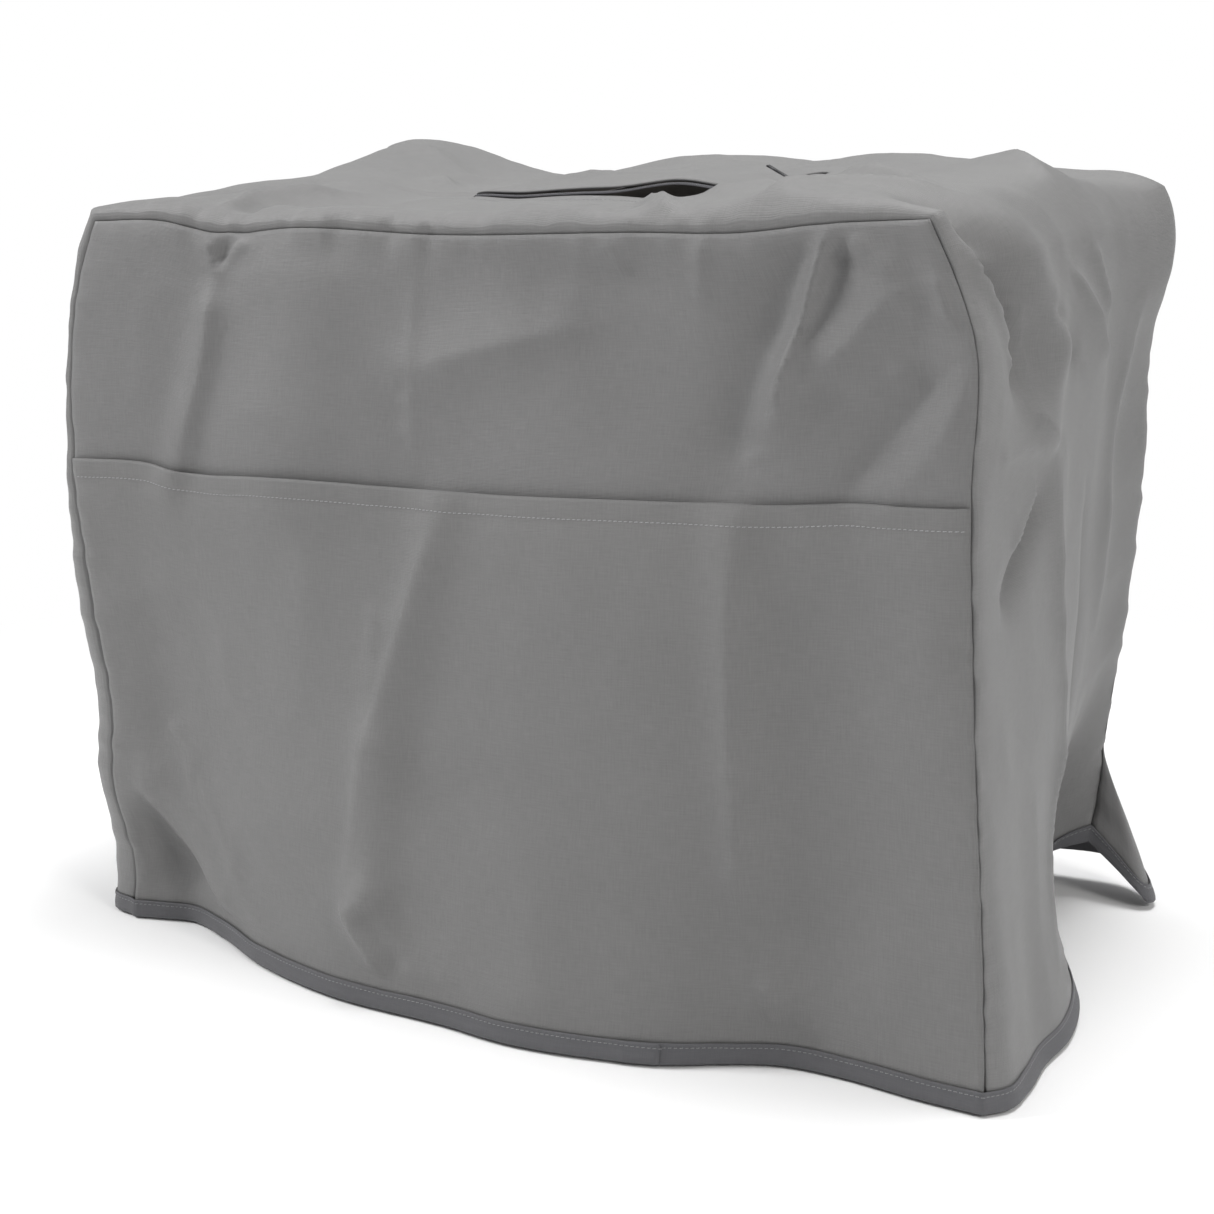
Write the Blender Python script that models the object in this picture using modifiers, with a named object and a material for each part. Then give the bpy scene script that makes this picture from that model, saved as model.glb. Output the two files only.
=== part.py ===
# Welding machine cover: a loose grey cloth box, open at the bottom, with a full-width front pocket,
# a zipped handle slit in the top and a dark bound hem. Metres, +Z up, the pocket faces -Y.
# The hem stands on Z = 0, and the origin is at the middle of the box round the cover.

import math

import bmesh
import bpy
import numpy as np
from mathutils import Vector
from mathutils.bvhtree import BVHTree

# Driving sizes
CLOTH = 0.0012            # thickness of the coated cloth
TAPE = 0.0008             # thickness of the binding and of the zip tapes
GAP = 0.0003              # clearance between layers
SEAM_GAP = 0.0005         # clearance between two panels along a seam
BACK_SEAM_GAP = 0.0011    # wider at the back, where the strip leans inward above the flap
BINDING_GAP = 0.0005      # clearance of the binding's legs, which bend with the cloth
BINDING_HEIGHT = 0.012    # how far the binding reaches up the cloth
EDGE_RISE = 0.0034        # the cloth's cut edge above the fold of the binding
FIRST_ROW = 0.0145        # the cloth is straight up to here, inside the binding
SIDE_HEIGHT = 0.450       # hem to top seam, along the cloth
CENTRE_X = 0.2772         # middle of the finished cover in the tables' frame
CENTRE_Y = 0.1685
LIFT = 0.0009             # the tables' floor above the finished cover's lowest point

SIDE_STEPS = 22           # mesh steps up a side
TOP_STEPS = 28            # mesh steps along the top
POCKET_SHARE = 0.668      # height of the pocket's top edge as a share of the panel
POCKET_SLACK = 0.0022     # how far the pocket's top edge stands off the front
SLACK_FROM = 0.14         # share of the pocket's height where it starts to stand off
SLACK_FULL = 0.86         # and where it is at its most
# Folds fade out towards a panel's side seams, its top seam and its bound edge.
PANEL_WIDTH = 0.560
FADE_SIDE = 0.035
FADE_ENDS = 0.030
# How fast the hem's waves fade with height: a higher power keeps them lower.
FRONT_WAVE = 1.6
BACK_WAVE = 1.4
LEFT_WAVE = 1.5
RIGHT_WAVE = 4.0

# The tables give places in a frame whose X starts at the front left corner and whose Y starts at the
# flat front. A hem is read left to right or front to back.
# share along, x, y, z
FRONT_HEM = [
    (0.00, 0.000, 0.008, 0.0),
    (0.04, 0.016, 0.013, 0.0),
    (0.09, 0.040, 0.019, 0.0),
    (0.15, 0.074, 0.006, 0.0),
    (0.25, 0.127, -0.022, 0.0),
    (0.36, 0.193, -0.042, 0.0),
    (0.50, 0.278, -0.047, 0.0),
    (0.58, 0.324, -0.052, 0.0),
    (0.66, 0.372, -0.046, 0.0),
    (0.73, 0.415, -0.033, 0.0),
    (0.78, 0.440, -0.017, 0.0),
    (0.83, 0.468, -0.003, 0.0),
    (0.89, 0.505, -0.001, 0.0),
    (0.95, 0.552, -0.007, 0.0),
    (1.00, 0.588, -0.009, 0.0),
]
RIGHT_HEM = [
    (0.00, 0.588, -0.009, 0.0),
    (0.04, 0.597, 0.003, 0.0),
    (0.10, 0.598, 0.028, 0.0),
    (0.19, 0.594, 0.065, 0.0),
    (0.30, 0.594, 0.108, 0.0),
    (0.42, 0.582, 0.160, 0.001),
    (0.57, 0.547, 0.225, 0.003),
    (0.71, 0.514, 0.285, 0.009),
    (0.82, 0.498, 0.322, 0.017),
    (0.91, 0.500, 0.342, 0.028),
    (0.96, 0.513, 0.348, 0.034),
    (1.00, 0.525, 0.352, 0.038),
]
LEFT_HEM = [
    (0.00, 0.000, 0.008, 0.0),
    (0.03, -0.019, 0.012, 0.0),
    (0.08, -0.028, 0.030, 0.0),
    (0.20, -0.028, 0.072, 0.0),
    (0.42, -0.010, 0.148, 0.0),
    (0.62, -0.020, 0.214, 0.0),
    (0.82, -0.034, 0.290, 0.0),
    (1.00, -0.018, 0.345, 0.0),
]
BACK_HEM = [
    (0.00, -0.018, 0.345, 0.0),
    (0.10, 0.022, 0.368, 0.0),
    (0.25, 0.110, 0.386, 0.0),
    (0.40, 0.200, 0.371, 0.0),
    (0.55, 0.290, 0.387, 0.0),
    (0.70, 0.400, 0.391, 0.0),
    (0.80, 0.458, 0.384, 0.008),
    (0.88, 0.488, 0.376, 0.022),
    (0.94, 0.506, 0.364, 0.030),
    (1.00, 0.525, 0.352, 0.038),
]
# The loose flap at the back right corner: the back panel's hem swings out past the side seam.
# share along the back hem, push in x, y, z
FLAP = [
    (0.00, 0.0, 0.0, 0.0),
    (0.80, 0.0, 0.0, 0.0),
    (0.86, 0.016, 0.010, 0.0),
    (0.905, 0.048, 0.014, -0.010),
    (0.935, 0.062, -0.003, -0.027),
    (0.955, 0.055, -0.013, -0.027),
    (0.98, 0.026, -0.007, -0.012),
    (1.00, 0.0, 0.0, 0.0),
]
FLAP_HEIGHT = 0.112
FLAP_FADE = 0.68          # how evenly the flap closes towards its top
# A seam is read from the hem up, or along the top from left to right.
# share along, x, y, z
LEFT_FRONT_SEAM = [
    (0.00, 0.000, 0.008, 0.0),
    (0.10, 0.003, 0.004, 0.045),
    (0.18, -0.006, 0.001, 0.080),
    (0.33, -0.006, 0.000, 0.148),
    (0.47, -0.018, 0.000, 0.211),
    (0.67, -0.028, 0.000, 0.300),
    (0.85, -0.024, 0.000, 0.380),
    (0.95, -0.012, 0.000, 0.425),
    (1.00, -0.002, 0.000, 0.446),
]
RIGHT_FRONT_SEAM = [
    (0.00, 0.588, -0.009, 0.0),
    (0.19, 0.580, 0.000, 0.087),
    (0.36, 0.574, 0.000, 0.168),
    (0.668, 0.566, 0.000, 0.315),
    (0.87, 0.564, 0.000, 0.403),
    (0.94, 0.553, 0.000, 0.431),
    (1.00, 0.540, 0.000, 0.457),
]
TOP_FRONT_SEAM = [
    (0.00, -0.002, 0.000, 0.446),
    (0.10, 0.050, 0.000, 0.447),
    (0.17, 0.088, 0.002, 0.441),
    (0.28, 0.150, -0.002, 0.445),
    (0.46, 0.249, 0.001, 0.443),
    (0.70, 0.378, -0.002, 0.447),
    (0.80, 0.435, 0.002, 0.448),
    (0.89, 0.484, 0.000, 0.4535),
    (1.00, 0.540, 0.000, 0.457),
]
LEFT_BACK_SEAM = [
    (0.00, -0.018, 0.345, 0.0),
    (0.30, -0.020, 0.352, 0.140),
    (0.60, -0.027, 0.356, 0.285),
    (0.85, -0.025, 0.354, 0.408),
    (1.00, -0.014, 0.352, 0.482),
]
RIGHT_BACK_SEAM = [
    (0.00, 0.525, 0.352, 0.038),
    (0.15, 0.531, 0.356, 0.100),
    (0.25, 0.536, 0.356, 0.143),
    (0.36, 0.541, 0.356, 0.190),
    (0.55, 0.547, 0.355, 0.270),
    (0.79, 0.549, 0.354, 0.372),
    (0.87, 0.550, 0.354, 0.405),
    (0.94, 0.553, 0.354, 0.435),
    (1.00, 0.550, 0.352, 0.457),
]
TOP_BACK_SEAM = [
    (0.00, -0.014, 0.352, 0.482),
    (0.12, 0.048, 0.352, 0.476),
    (0.27, 0.133, 0.355, 0.457),
    (0.42, 0.220, 0.357, 0.472),
    (0.60, 0.330, 0.354, 0.468),
    (0.75, 0.410, 0.352, 0.470),
    (0.88, 0.486, 0.352, 0.464),
    (1.00, 0.550, 0.352, 0.457),
]
# Main folds: a soft ridge (or a trough, where the height is negative) along a line on the panel.
# start across, start up, end across, end up, half width, height
FRONT_FOLDS = [
    (0.093, 0.414, 0.050, 0.288, 0.012, 0.004),
    (0.104, 0.440, 0.094, 0.416, 0.014, -0.005),
    (0.160, 0.400, 0.130, 0.310, 0.045, 0.006),
    (0.233, 0.367, 0.292, 0.386, 0.022, 0.004),
    (0.340, 0.430, 0.420, 0.330, 0.040, -0.006),
    (0.484, 0.448, 0.456, 0.350, 0.014, 0.007),
    (0.466, 0.440, 0.436, 0.345, 0.020, -0.007),
    (0.558, 0.400, 0.500, 0.312, 0.030, -0.006),
    (0.258, 0.290, 0.224, 0.150, 0.016, 0.004),
    (0.224, 0.150, 0.218, 0.060, 0.016, 0.005),
    (0.222, 0.062, 0.250, 0.012, 0.014, 0.007),
    (0.434, 0.290, 0.448, 0.110, 0.016, 0.005),
    (0.462, 0.055, 0.478, 0.020, 0.014, 0.005),
    (0.030, 0.095, 0.100, 0.020, 0.020, 0.008),
    (0.012, 0.055, 0.050, 0.010, 0.022, -0.007),
    (0.500, 0.250, 0.520, 0.120, 0.040, -0.005),
]
BACK_FOLDS = [
    (0.110, 0.440, 0.160, 0.250, 0.030, 0.006),
    (0.300, 0.300, 0.270, 0.060, 0.030, 0.007),
    (0.420, 0.430, 0.380, 0.260, 0.026, -0.006),
    (0.060, 0.240, 0.090, 0.050, 0.030, -0.006),
]
# Folds of the strip, each along a line in space: start x, y, z, end x, y, z, half width, height
STRIP_FOLDS = [
    (0.548, 0.006, 0.446, 0.562, 0.071, 0.378, 0.010, 0.005),
    (0.536, 0.042, 0.460, 0.564, 0.084, 0.385, 0.024, -0.022),
    (0.556, 0.096, 0.442, 0.566, 0.130, 0.392, 0.022, 0.007),
    (0.566, 0.130, 0.392, 0.566, 0.120, 0.350, 0.018, 0.005),
    (0.564, 0.112, 0.301, 0.566, 0.056, 0.262, 0.014, -0.007),
    (0.562, 0.140, 0.313, 0.566, 0.158, 0.146, 0.014, 0.004),
    (0.566, 0.158, 0.146, 0.580, 0.118, 0.050, 0.014, 0.005),
    (0.552, 0.325, 0.440, 0.556, 0.330, 0.425, 0.045, 0.012),
    (0.552, 0.290, 0.330, 0.550, 0.250, 0.180, 0.050, -0.008),
    (-0.020, 0.060, 0.380, -0.020, 0.100, 0.200, 0.030, 0.006),
    (-0.015, 0.200, 0.420, -0.020, 0.160, 0.260, 0.040, -0.008),
    (-0.020, 0.290, 0.260, -0.020, 0.300, 0.060, 0.030, 0.007),
    (0.330, 0.045, 0.460, 0.430, 0.060, 0.462, 0.030, 0.006),
    (0.090, 0.040, 0.458, 0.150, 0.090, 0.460, 0.035, -0.006),
    (0.120, 0.270, 0.475, 0.240, 0.300, 0.480, 0.060, -0.006),
    (0.400, 0.290, 0.480, 0.520, 0.220, 0.475, 0.040, 0.006),
    (0.200, 0.160, 0.462, 0.360, 0.160, 0.464, 0.028, -0.006),
    (-0.005, 0.080, 0.460, 0.010, 0.200, 0.468, 0.055, -0.003),
]
# The strip swells out past its seams and rolls over the edges.
ROLL_WIDTH = 0.060        # share of the depth taken by a roll
ROLL_TIGHT = 0.024        # the same on the left, where the roll turns sharply at the seam
ROLL_TOP = 0.013
ROLL_RIGHT = 0.004
# The left roll's size up the seam
# share of the height, size
LEFT_ROLL = [
    (0.00, 0.016),
    (0.20, 0.013),
    (0.33, 0.018),
    (0.47, 0.019),
    (0.62, 0.013),
    (0.78, 0.008),
    (0.92, 0.009),
    (1.00, 0.011),
]
EDGE_ROUND = 3            # mesh steps over which the top edges are rounded
EDGE_TURN = 2.0           # mesh steps over which the strip turns from a side to the top
ROUND_FROM_SEAM = 0.13    # share of the depth over which a sharp corner turns into a rounded edge
# Across the strip, dense at the seams, with an even band for the zip in the middle
STRIP_ROWS = [0.0, 0.012, 0.030, 0.060, 0.11, 0.18, 0.26, 0.35, 0.445,
              0.555, 0.65, 0.74, 0.82, 0.89, 0.94, 0.970, 0.988, 1.0]
# The handle slit and its zip
SLIT_LEFT = 0.158
SLIT_RIGHT = 0.407
SLIT_Y = 0.177
OPEN_LEFT = 0.260
OPEN_RIGHT = 0.374
OPEN_PEAK = 0.302
OPEN_HALF = 0.0070        # half the width of the opening at its widest
TAPE_SHOWS = 0.0042       # tape seen between the cloth's lip and the teeth
TAPE_UNDER = 0.005        # tape hidden under the lip
TAPE_DROP = 0.0009        # clearance under the lip
TAPE_END = 0.006          # tape hidden past each end of the slit
SLIT_STEPS = 32
SLIT_END = 0.5            # width of the slit's very ends as a share of its lips' distance
CUT_Z = 0.460             # middle of the slit's cutter and half its height
CUT_HALF = 0.040
WELD = 0.00001            # points of the cutter closer than this are one
SLIDER_X = 0.380
SLIDER_SIZE = (0.010, 0.0085, 0.0045)
SLIDER_NOSE = 0.62        # width of the slider's narrow end as a share of its wide end
SLIDER_ROUND = 0.0009
PULL_LENGTH = 0.019
PULL_WIDTH = 0.0042
PULL_THICK = 0.0012
PULL_TILT = math.radians(27)
PULL_TAPER = 0.7          # width of the pull's held end as a share of its free end
PULL_ROUND = 0.0004
PULL_OVER = 0.003         # the pull's held end past the slider's middle
JOIN_X = 0.395            # where the binding's two ends meet on the front hem
FOLD_RISE = 0.0011        # the binding's rounded fold
FOLD_IN = 0.0009
INNER_SHORT = 0.001       # the inner leg ends this far below the outer one


def ease(rows, share):
    """The columns of a table at shares of the way, on a smooth curve through its rows."""
    table = np.array(rows, float)
    keys, values = table[:, 0], table[:, 1:]
    slopes = np.gradient(values, keys, axis=0)
    share = np.atleast_1d(share)
    i = np.clip(np.searchsorted(keys, share, side="right") - 1, 0, len(keys) - 2)
    step = (keys[i + 1] - keys[i])[:, None]
    q = (share - keys[i])[:, None] / step
    start = values[i] * (2 * q**3 - 3 * q**2 + 1) + slopes[i] * step * (q**3 - 2 * q**2 + q)
    end = values[i + 1] * (3 * q**2 - 2 * q**3) + slopes[i + 1] * step * (q**3 - q**2)
    return start + end


def blend(start, end, share):
    """Points on the straight lines between two rows of points."""
    return start + (end - start) * share


def soft_step(value):
    """0 below 0, 1 above 1 and smooth between."""
    q = np.clip(value, 0.0, 1.0)
    return q * q * (3 - 2 * q)


def fold_height(folds, across, up):
    """The summed height of a panel's folds at places on it."""
    total = np.zeros_like(across)
    for x0, z0, x1, z1, half_width, height in folds:
        length = math.hypot(x1 - x0, z1 - z0)
        q = ((across - x0) * (x1 - x0) + (up - z0) * (z1 - z0)) / length**2
        q = np.clip(q, 0.0, 1.0)
        away = np.hypot(across - x0 - q * (x1 - x0), up - z0 - q * (z1 - z0))
        total += height * np.exp(-((away / half_width) ** 2))
    return total


def fold_in_space(folds, places):
    """The summed height of folds that run along lines in space, at a row of places."""
    total = np.zeros(len(places))
    for fold in folds:
        start, end = np.array(fold[0:3]), np.array(fold[3:6])
        half_width, height = fold[6:]
        run = end - start
        q = np.clip((places - start) @ run / (run @ run), 0.0, 1.0)
        away = np.linalg.norm(places - start - q[:, None] * run, axis=1)
        total += height * np.exp(-((away / half_width) ** 2))
    return total


def side_shares():
    """Shares of the height for the rows of a side: the bound edge, then even steps."""
    first = FIRST_ROW / SIDE_HEIGHT
    even = np.linspace(first, 1.0, SIDE_STEPS)
    shares = np.concatenate([[EDGE_RISE / SIDE_HEIGHT], even])
    nearest = np.argmin(abs(shares - POCKET_SHARE))
    shares[nearest] = POCKET_SHARE
    return shares, nearest


def back_shares():
    """Shares along the back for the same number of columns as the front, dense at the flap."""
    even = np.linspace(0.0, 1.0, TOP_STEPS + 1)
    return np.interp(even, [0.0, 0.50, 0.62, 1.0], [0.0, 0.70, 0.84, 1.0])


def panel_points(left, right, top, hem, folds, outward, hem_power):
    """A panel stretched between its seams and its hem, with its folds pushed outward (rows, columns, 3)."""
    rows, columns = len(left), top.shape[0]
    up = SIDE_SHARES[:, None, None]
    share = np.linspace(0.0, 1.0, columns) if outward < 0 else BACK_SHARES
    across = share[None, :, None]
    grid = blend(left[:, None, :], right[:, None, :], across)
    top_line = blend(top[:1], top[-1:], share[:, None])
    hem_line = blend(hem[:1], hem[-1:], share[:, None])
    grid = grid + up * (top - top_line)[None]
    grid = grid + (1 - up) ** hem_power * (hem - hem_line)[None]
    edge = np.minimum(across, 1 - across)[..., 0] * PANEL_WIDTH
    below_top = (1 - up[..., 0]) * SIDE_HEIGHT
    above_hem = up[..., 0] * SIDE_HEIGHT - FIRST_ROW
    hold = soft_step(edge / FADE_SIDE) * soft_step(below_top / FADE_ENDS)
    hold = hold * soft_step(above_hem / FADE_ENDS) * np.ones((rows, columns))
    lift = fold_height(folds, grid[..., 0], grid[..., 2]) * hold
    grid[..., 1] += outward * lift
    return grid


def grid_mesh(name, grid, material):
    """An object whose mesh is a grid with its points moved to the given rows and columns."""
    rows, columns = grid.shape[:2]
    mesh = bpy.data.meshes.new(name)
    shape = bmesh.new()
    bmesh.ops.create_grid(shape, x_segments=columns - 1, y_segments=rows - 1, size=0.5)
    shape.verts.ensure_lookup_table()
    for vertex, place in zip(shape.verts, grid.reshape(-1, 3)):
        vertex.co = Vector(place)
    shape.normal_update()
    shape.to_mesh(mesh)
    shape.free()
    mesh.shade_smooth()
    mesh.materials.append(material)
    thing = bpy.data.objects.new(name, mesh)
    cover.objects.link(thing)
    return thing


def grid_normals(thing, shape):
    """The outward normals of a grid object's points, as rows and columns."""
    return np.array([vertex.normal[:] for vertex in thing.data.vertices]).reshape(shape)


def thicken(thing, thickness):
    """Gives a sheet its thickness, inward from its outer face."""
    solid = thing.modifiers.new("thickness", "SOLIDIFY")
    solid.thickness = thickness
    solid.offset = -1.0


def cloth_material(name, colour, roughness, metallic=0.0):
    """A plain Principled material in the piece's own colour."""
    material = bpy.data.materials.new(name)
    material.use_nodes = True
    shader = material.node_tree.nodes["Principled BSDF"]
    shader.inputs["Base Color"].default_value = (*colour, 1.0)
    shader.inputs["Roughness"].default_value = roughness
    shader.inputs["Metallic"].default_value = metallic
    return material


def to_origin(grid):
    """Moves points from the tables' frame to the cover's own origin."""
    return grid - ORIGIN


def make_front_panel():
    """The whole front, from side seam to side seam, behind the pocket too."""
    share = np.linspace(0.0, 1.0, TOP_STEPS + 1)
    left = ease(LEFT_FRONT_SEAM, SIDE_SHARES)
    right = ease(RIGHT_FRONT_SEAM, SIDE_SHARES)
    top = ease(TOP_FRONT_SEAM, share)
    hem = ease(FRONT_HEM, share)
    grid = panel_points(left, right, top, hem, FRONT_FOLDS, -1, FRONT_WAVE)
    material = cloth_material("cloth_front", (0.23, 0.228, 0.228), 0.62)
    return grid_mesh("front_panel", to_origin(grid), material), to_origin(grid)


def make_pocket(front_grid, front_normals):
    """The pocket lies on the front panel, is sewn in with its side seams and hem, and is open on top."""
    rows = POCKET_ROW + 1
    grid = front_grid[:rows]
    up = np.linspace(0.0, 1.0, rows)[:, None]
    across = np.linspace(0.0, 1.0, grid.shape[1])[None, :]
    rise = soft_step((up - SLACK_FROM) / (SLACK_FULL - SLACK_FROM))
    slack = POCKET_SLACK * np.sqrt(np.sin(math.pi * across)) * rise
    away = GAP + CLOTH + slack
    grid = grid + front_normals[:rows] * away[..., None]
    material = cloth_material("cloth_pocket", (0.235, 0.233, 0.233), 0.62)
    pocket = grid_mesh("front_pocket", grid, material)
    thicken(pocket, CLOTH)
    return pocket


def make_back_panel():
    """The back, with its corner flap folded out past the right seam."""
    left = ease(LEFT_BACK_SEAM, SIDE_SHARES)
    right = ease(RIGHT_BACK_SEAM, SIDE_SHARES)
    top = ease(TOP_BACK_SEAM, BACK_SHARES)
    hem = ease(BACK_HEM, BACK_SHARES)
    grid = panel_points(left, right, top, hem, BACK_FOLDS, 1, BACK_WAVE)
    low = grid[:1, :, 2]
    fade = np.clip(1 - (grid[..., 2] - low) / (FLAP_HEIGHT - low), 0.0, 1.0) ** FLAP_FADE
    grid = grid + fade[..., None] * ease(FLAP, BACK_SHARES)[None]
    grid = grid[:, ::-1]
    material = cloth_material("cloth_back", (0.228, 0.226, 0.226), 0.62)
    return grid_mesh("back_panel", to_origin(grid), material), to_origin(grid)


def rounded(line, steps):
    """A line with its corners cut by averaging along it, its ends kept."""
    smooth = line.copy()
    for _ in range(steps):
        smooth[1:-1] = 0.25 * smooth[:-2] + 0.5 * smooth[1:-1] + 0.25 * smooth[2:]
    return smooth


def strip_directions(count_side, count_all):
    """The way that the strip faces at each column: left, up and then right, turning at the edges."""
    place = np.arange(count_all)
    over = soft_step((place - (count_side - 1) + EDGE_TURN) / (2 * EDGE_TURN))
    down = soft_step((place - (count_all - count_side) + EDGE_TURN) / (2 * EDGE_TURN))
    angle = math.pi - over * math.pi / 2 - down * math.pi / 2
    return np.stack([np.cos(angle), np.zeros(count_all), np.sin(angle)], axis=1), over, down


def make_strip(front_grid, front_normals, back_grid, back_normals):
    """One strip up the left side, over the top and down the right side, sewn to front and back."""
    front_edge = around(front_grid)
    back_edge = around(back_grid[:, ::-1])
    front_out = around(front_normals)
    back_out = around(back_normals[:, ::-1])
    count_all, count_side = len(front_edge), len(SIDE_SHARES)
    face, over, down = strip_directions(count_side, count_all)
    front_start = front_edge - front_out * (CLOTH + SEAM_GAP)
    back_start = back_edge - back_out * (CLOTH + BACK_SEAM_GAP)
    front_round = rounded(front_edge, EDGE_ROUND)
    back_round = rounded(back_edge, EDGE_ROUND)
    height = np.concatenate([SIDE_SHARES, np.ones(TOP_STEPS - 1), SIDE_SHARES[::-1]])
    roll_left = ease(LEFT_ROLL, height)[:, 0]
    roll = roll_left * (1 - over) + ROLL_TOP * over * (1 - down) + ROLL_RIGHT * down
    roll_width = ROLL_TIGHT * (1 - over) + ROLL_WIDTH * over
    left_side = np.arange(count_all) < count_all / 2
    wave = (1 - height) ** np.where(left_side, LEFT_WAVE, RIGHT_WAVE)
    free = 1 - (1 - height) ** LEFT_WAVE
    hem_rise = np.array([0.0, 0.0, EDGE_RISE])
    lines = []
    for v in STRIP_ROWS:
        if v in (0.0, 1.0):
            lines.append(front_start if v == 0.0 else back_start)
            continue
        near = np.minimum(min(v, 1 - v) / roll_width, 1.0)
        swell = np.sqrt(1 - (1 - near) ** 2)
        cut = soft_step(min(v, 1 - v) / ROUND_FROM_SEAM)
        start = blend(front_edge, front_round, cut)
        end = blend(back_edge, back_round, cut)
        line = blend(start, end, v)
        straight_left = blend(front_edge[0], back_edge[0], v)
        straight_right = blend(front_edge[-1], back_edge[-1], v)
        hem_left = to_origin(ease(LEFT_HEM, v))[0] - straight_left + hem_rise
        hem_right = to_origin(ease(RIGHT_HEM, v))[0] - straight_right + hem_rise
        push = np.where(left_side[:, None], hem_left[None], hem_right[None])
        line = line + push * wave[:, None]
        line = line + face * (roll * swell * free)[:, None]
        fold = fold_in_space(STRIP_FOLDS, line + ORIGIN)
        line = line + face * (fold * soft_step(near) * free)[:, None]
        lines.append(line)
    material = cloth_material("cloth_strip", (0.24, 0.238, 0.238), 0.60)
    strip = grid_mesh("side_top_strip", np.array(lines), material)
    return strip, np.array(lines)


def around(grid):
    """A panel's edge read up the left side, along the top and down the right side."""
    left = grid[:, 0]
    top = grid[-1, 1:-1]
    right = grid[::-1, -1]
    return np.concatenate([left, top, right])


def open_half(x):
    """Half the width of the zip's opening at a place along it."""
    rise = (x - OPEN_LEFT) / (OPEN_PEAK - OPEN_LEFT)
    fall = (OPEN_RIGHT - x) / (OPEN_RIGHT - OPEN_PEAK)
    inside = soft_step(np.minimum(rise, fall))
    return GAP + (OPEN_HALF - GAP) * inside


def cut_slit(strip):
    """Cuts the handle slit through the top of the strip, wider where the zip is open."""
    along = np.linspace(SLIT_LEFT, SLIT_RIGHT, SLIT_STEPS)
    half = open_half(along) + TAPE_SHOWS
    half[[0, -1]] *= SLIT_END
    outline = [(x - CENTRE_X, SLIT_Y - CENTRE_Y - h) for x, h in zip(along, half)]
    outline += [(x - CENTRE_X, SLIT_Y - CENTRE_Y + h) for x, h in zip(along[::-1], half[::-1])]
    curve = bpy.data.curves.new("slit_cutter", "CURVE")
    curve.dimensions = "2D"
    curve.fill_mode = "BOTH"
    curve.extrude = CUT_HALF
    spline = curve.splines.new("POLY")
    spline.points.add(len(outline) - 1)
    for point, (x, y) in zip(spline.points, outline):
        point.co = (x, y, 0.0, 1.0)
    spline.use_cyclic_u = True
    shape = bpy.data.objects.new("slit_outline", curve)
    cutters.objects.link(shape)
    shape.location.z = CUT_Z
    bpy.context.view_layer.update()
    mesh = bpy.data.meshes.new_from_object(shape.evaluated_get(bpy.context.evaluated_depsgraph_get()))
    cutter = bpy.data.objects.new("slit_cutter", mesh)
    cutter.matrix_world = shape.matrix_world
    welded = bmesh.new()
    welded.from_mesh(mesh)
    bmesh.ops.remove_doubles(welded, verts=welded.verts, dist=WELD)
    bmesh.ops.recalc_face_normals(welded, faces=welded.faces)
    welded.to_mesh(mesh)
    welded.free()
    bpy.data.objects.remove(shape)
    cutters.objects.link(cutter)
    cutter.hide_render = True
    cutter.display_type = "WIRE"
    cut = strip.modifiers.new("slit", "BOOLEAN")
    cut.operation = "DIFFERENCE"
    cut.solver = "EXACT"
    cut.object = cutter


def surface_finder(thing):
    """A function that gives the height of a sheet's outer face above a place in plan."""
    shape = bmesh.new()
    shape.from_mesh(thing.data)
    tree = BVHTree.FromBMesh(shape)
    shape.free()

    def height_at(x, y):
        hit = tree.ray_cast(Vector((x, y, 1.0)), Vector((0.0, 0.0, -1.0)))
        return hit[0].z

    return height_at


def make_zip_tape(name, side, height_at):
    """One tape of the zip, under the lip of the slit and out to the teeth."""
    along = np.linspace(SLIT_LEFT - TAPE_END, SLIT_RIGHT + TAPE_END, SLIT_STEPS + 2)
    rows = []
    for reach in (0.0, 0.5, 1.0):
        line = []
        for x in along:
            inner = open_half(x)
            outer = inner + TAPE_SHOWS + TAPE_UNDER
            y = SLIT_Y + side * (inner + (outer - inner) * reach)
            z = height_at(x - CENTRE_X, y - CENTRE_Y) - CLOTH - TAPE_DROP
            line.append((x - CENTRE_X, y - CENTRE_Y, z))
        rows.append(line)
    if side < 0:
        rows.reverse()
    tape = grid_mesh(name, np.array(rows), cloth_material(name, (0.165, 0.165, 0.18), 0.7))
    thicken(tape, TAPE)
    return tape


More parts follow.
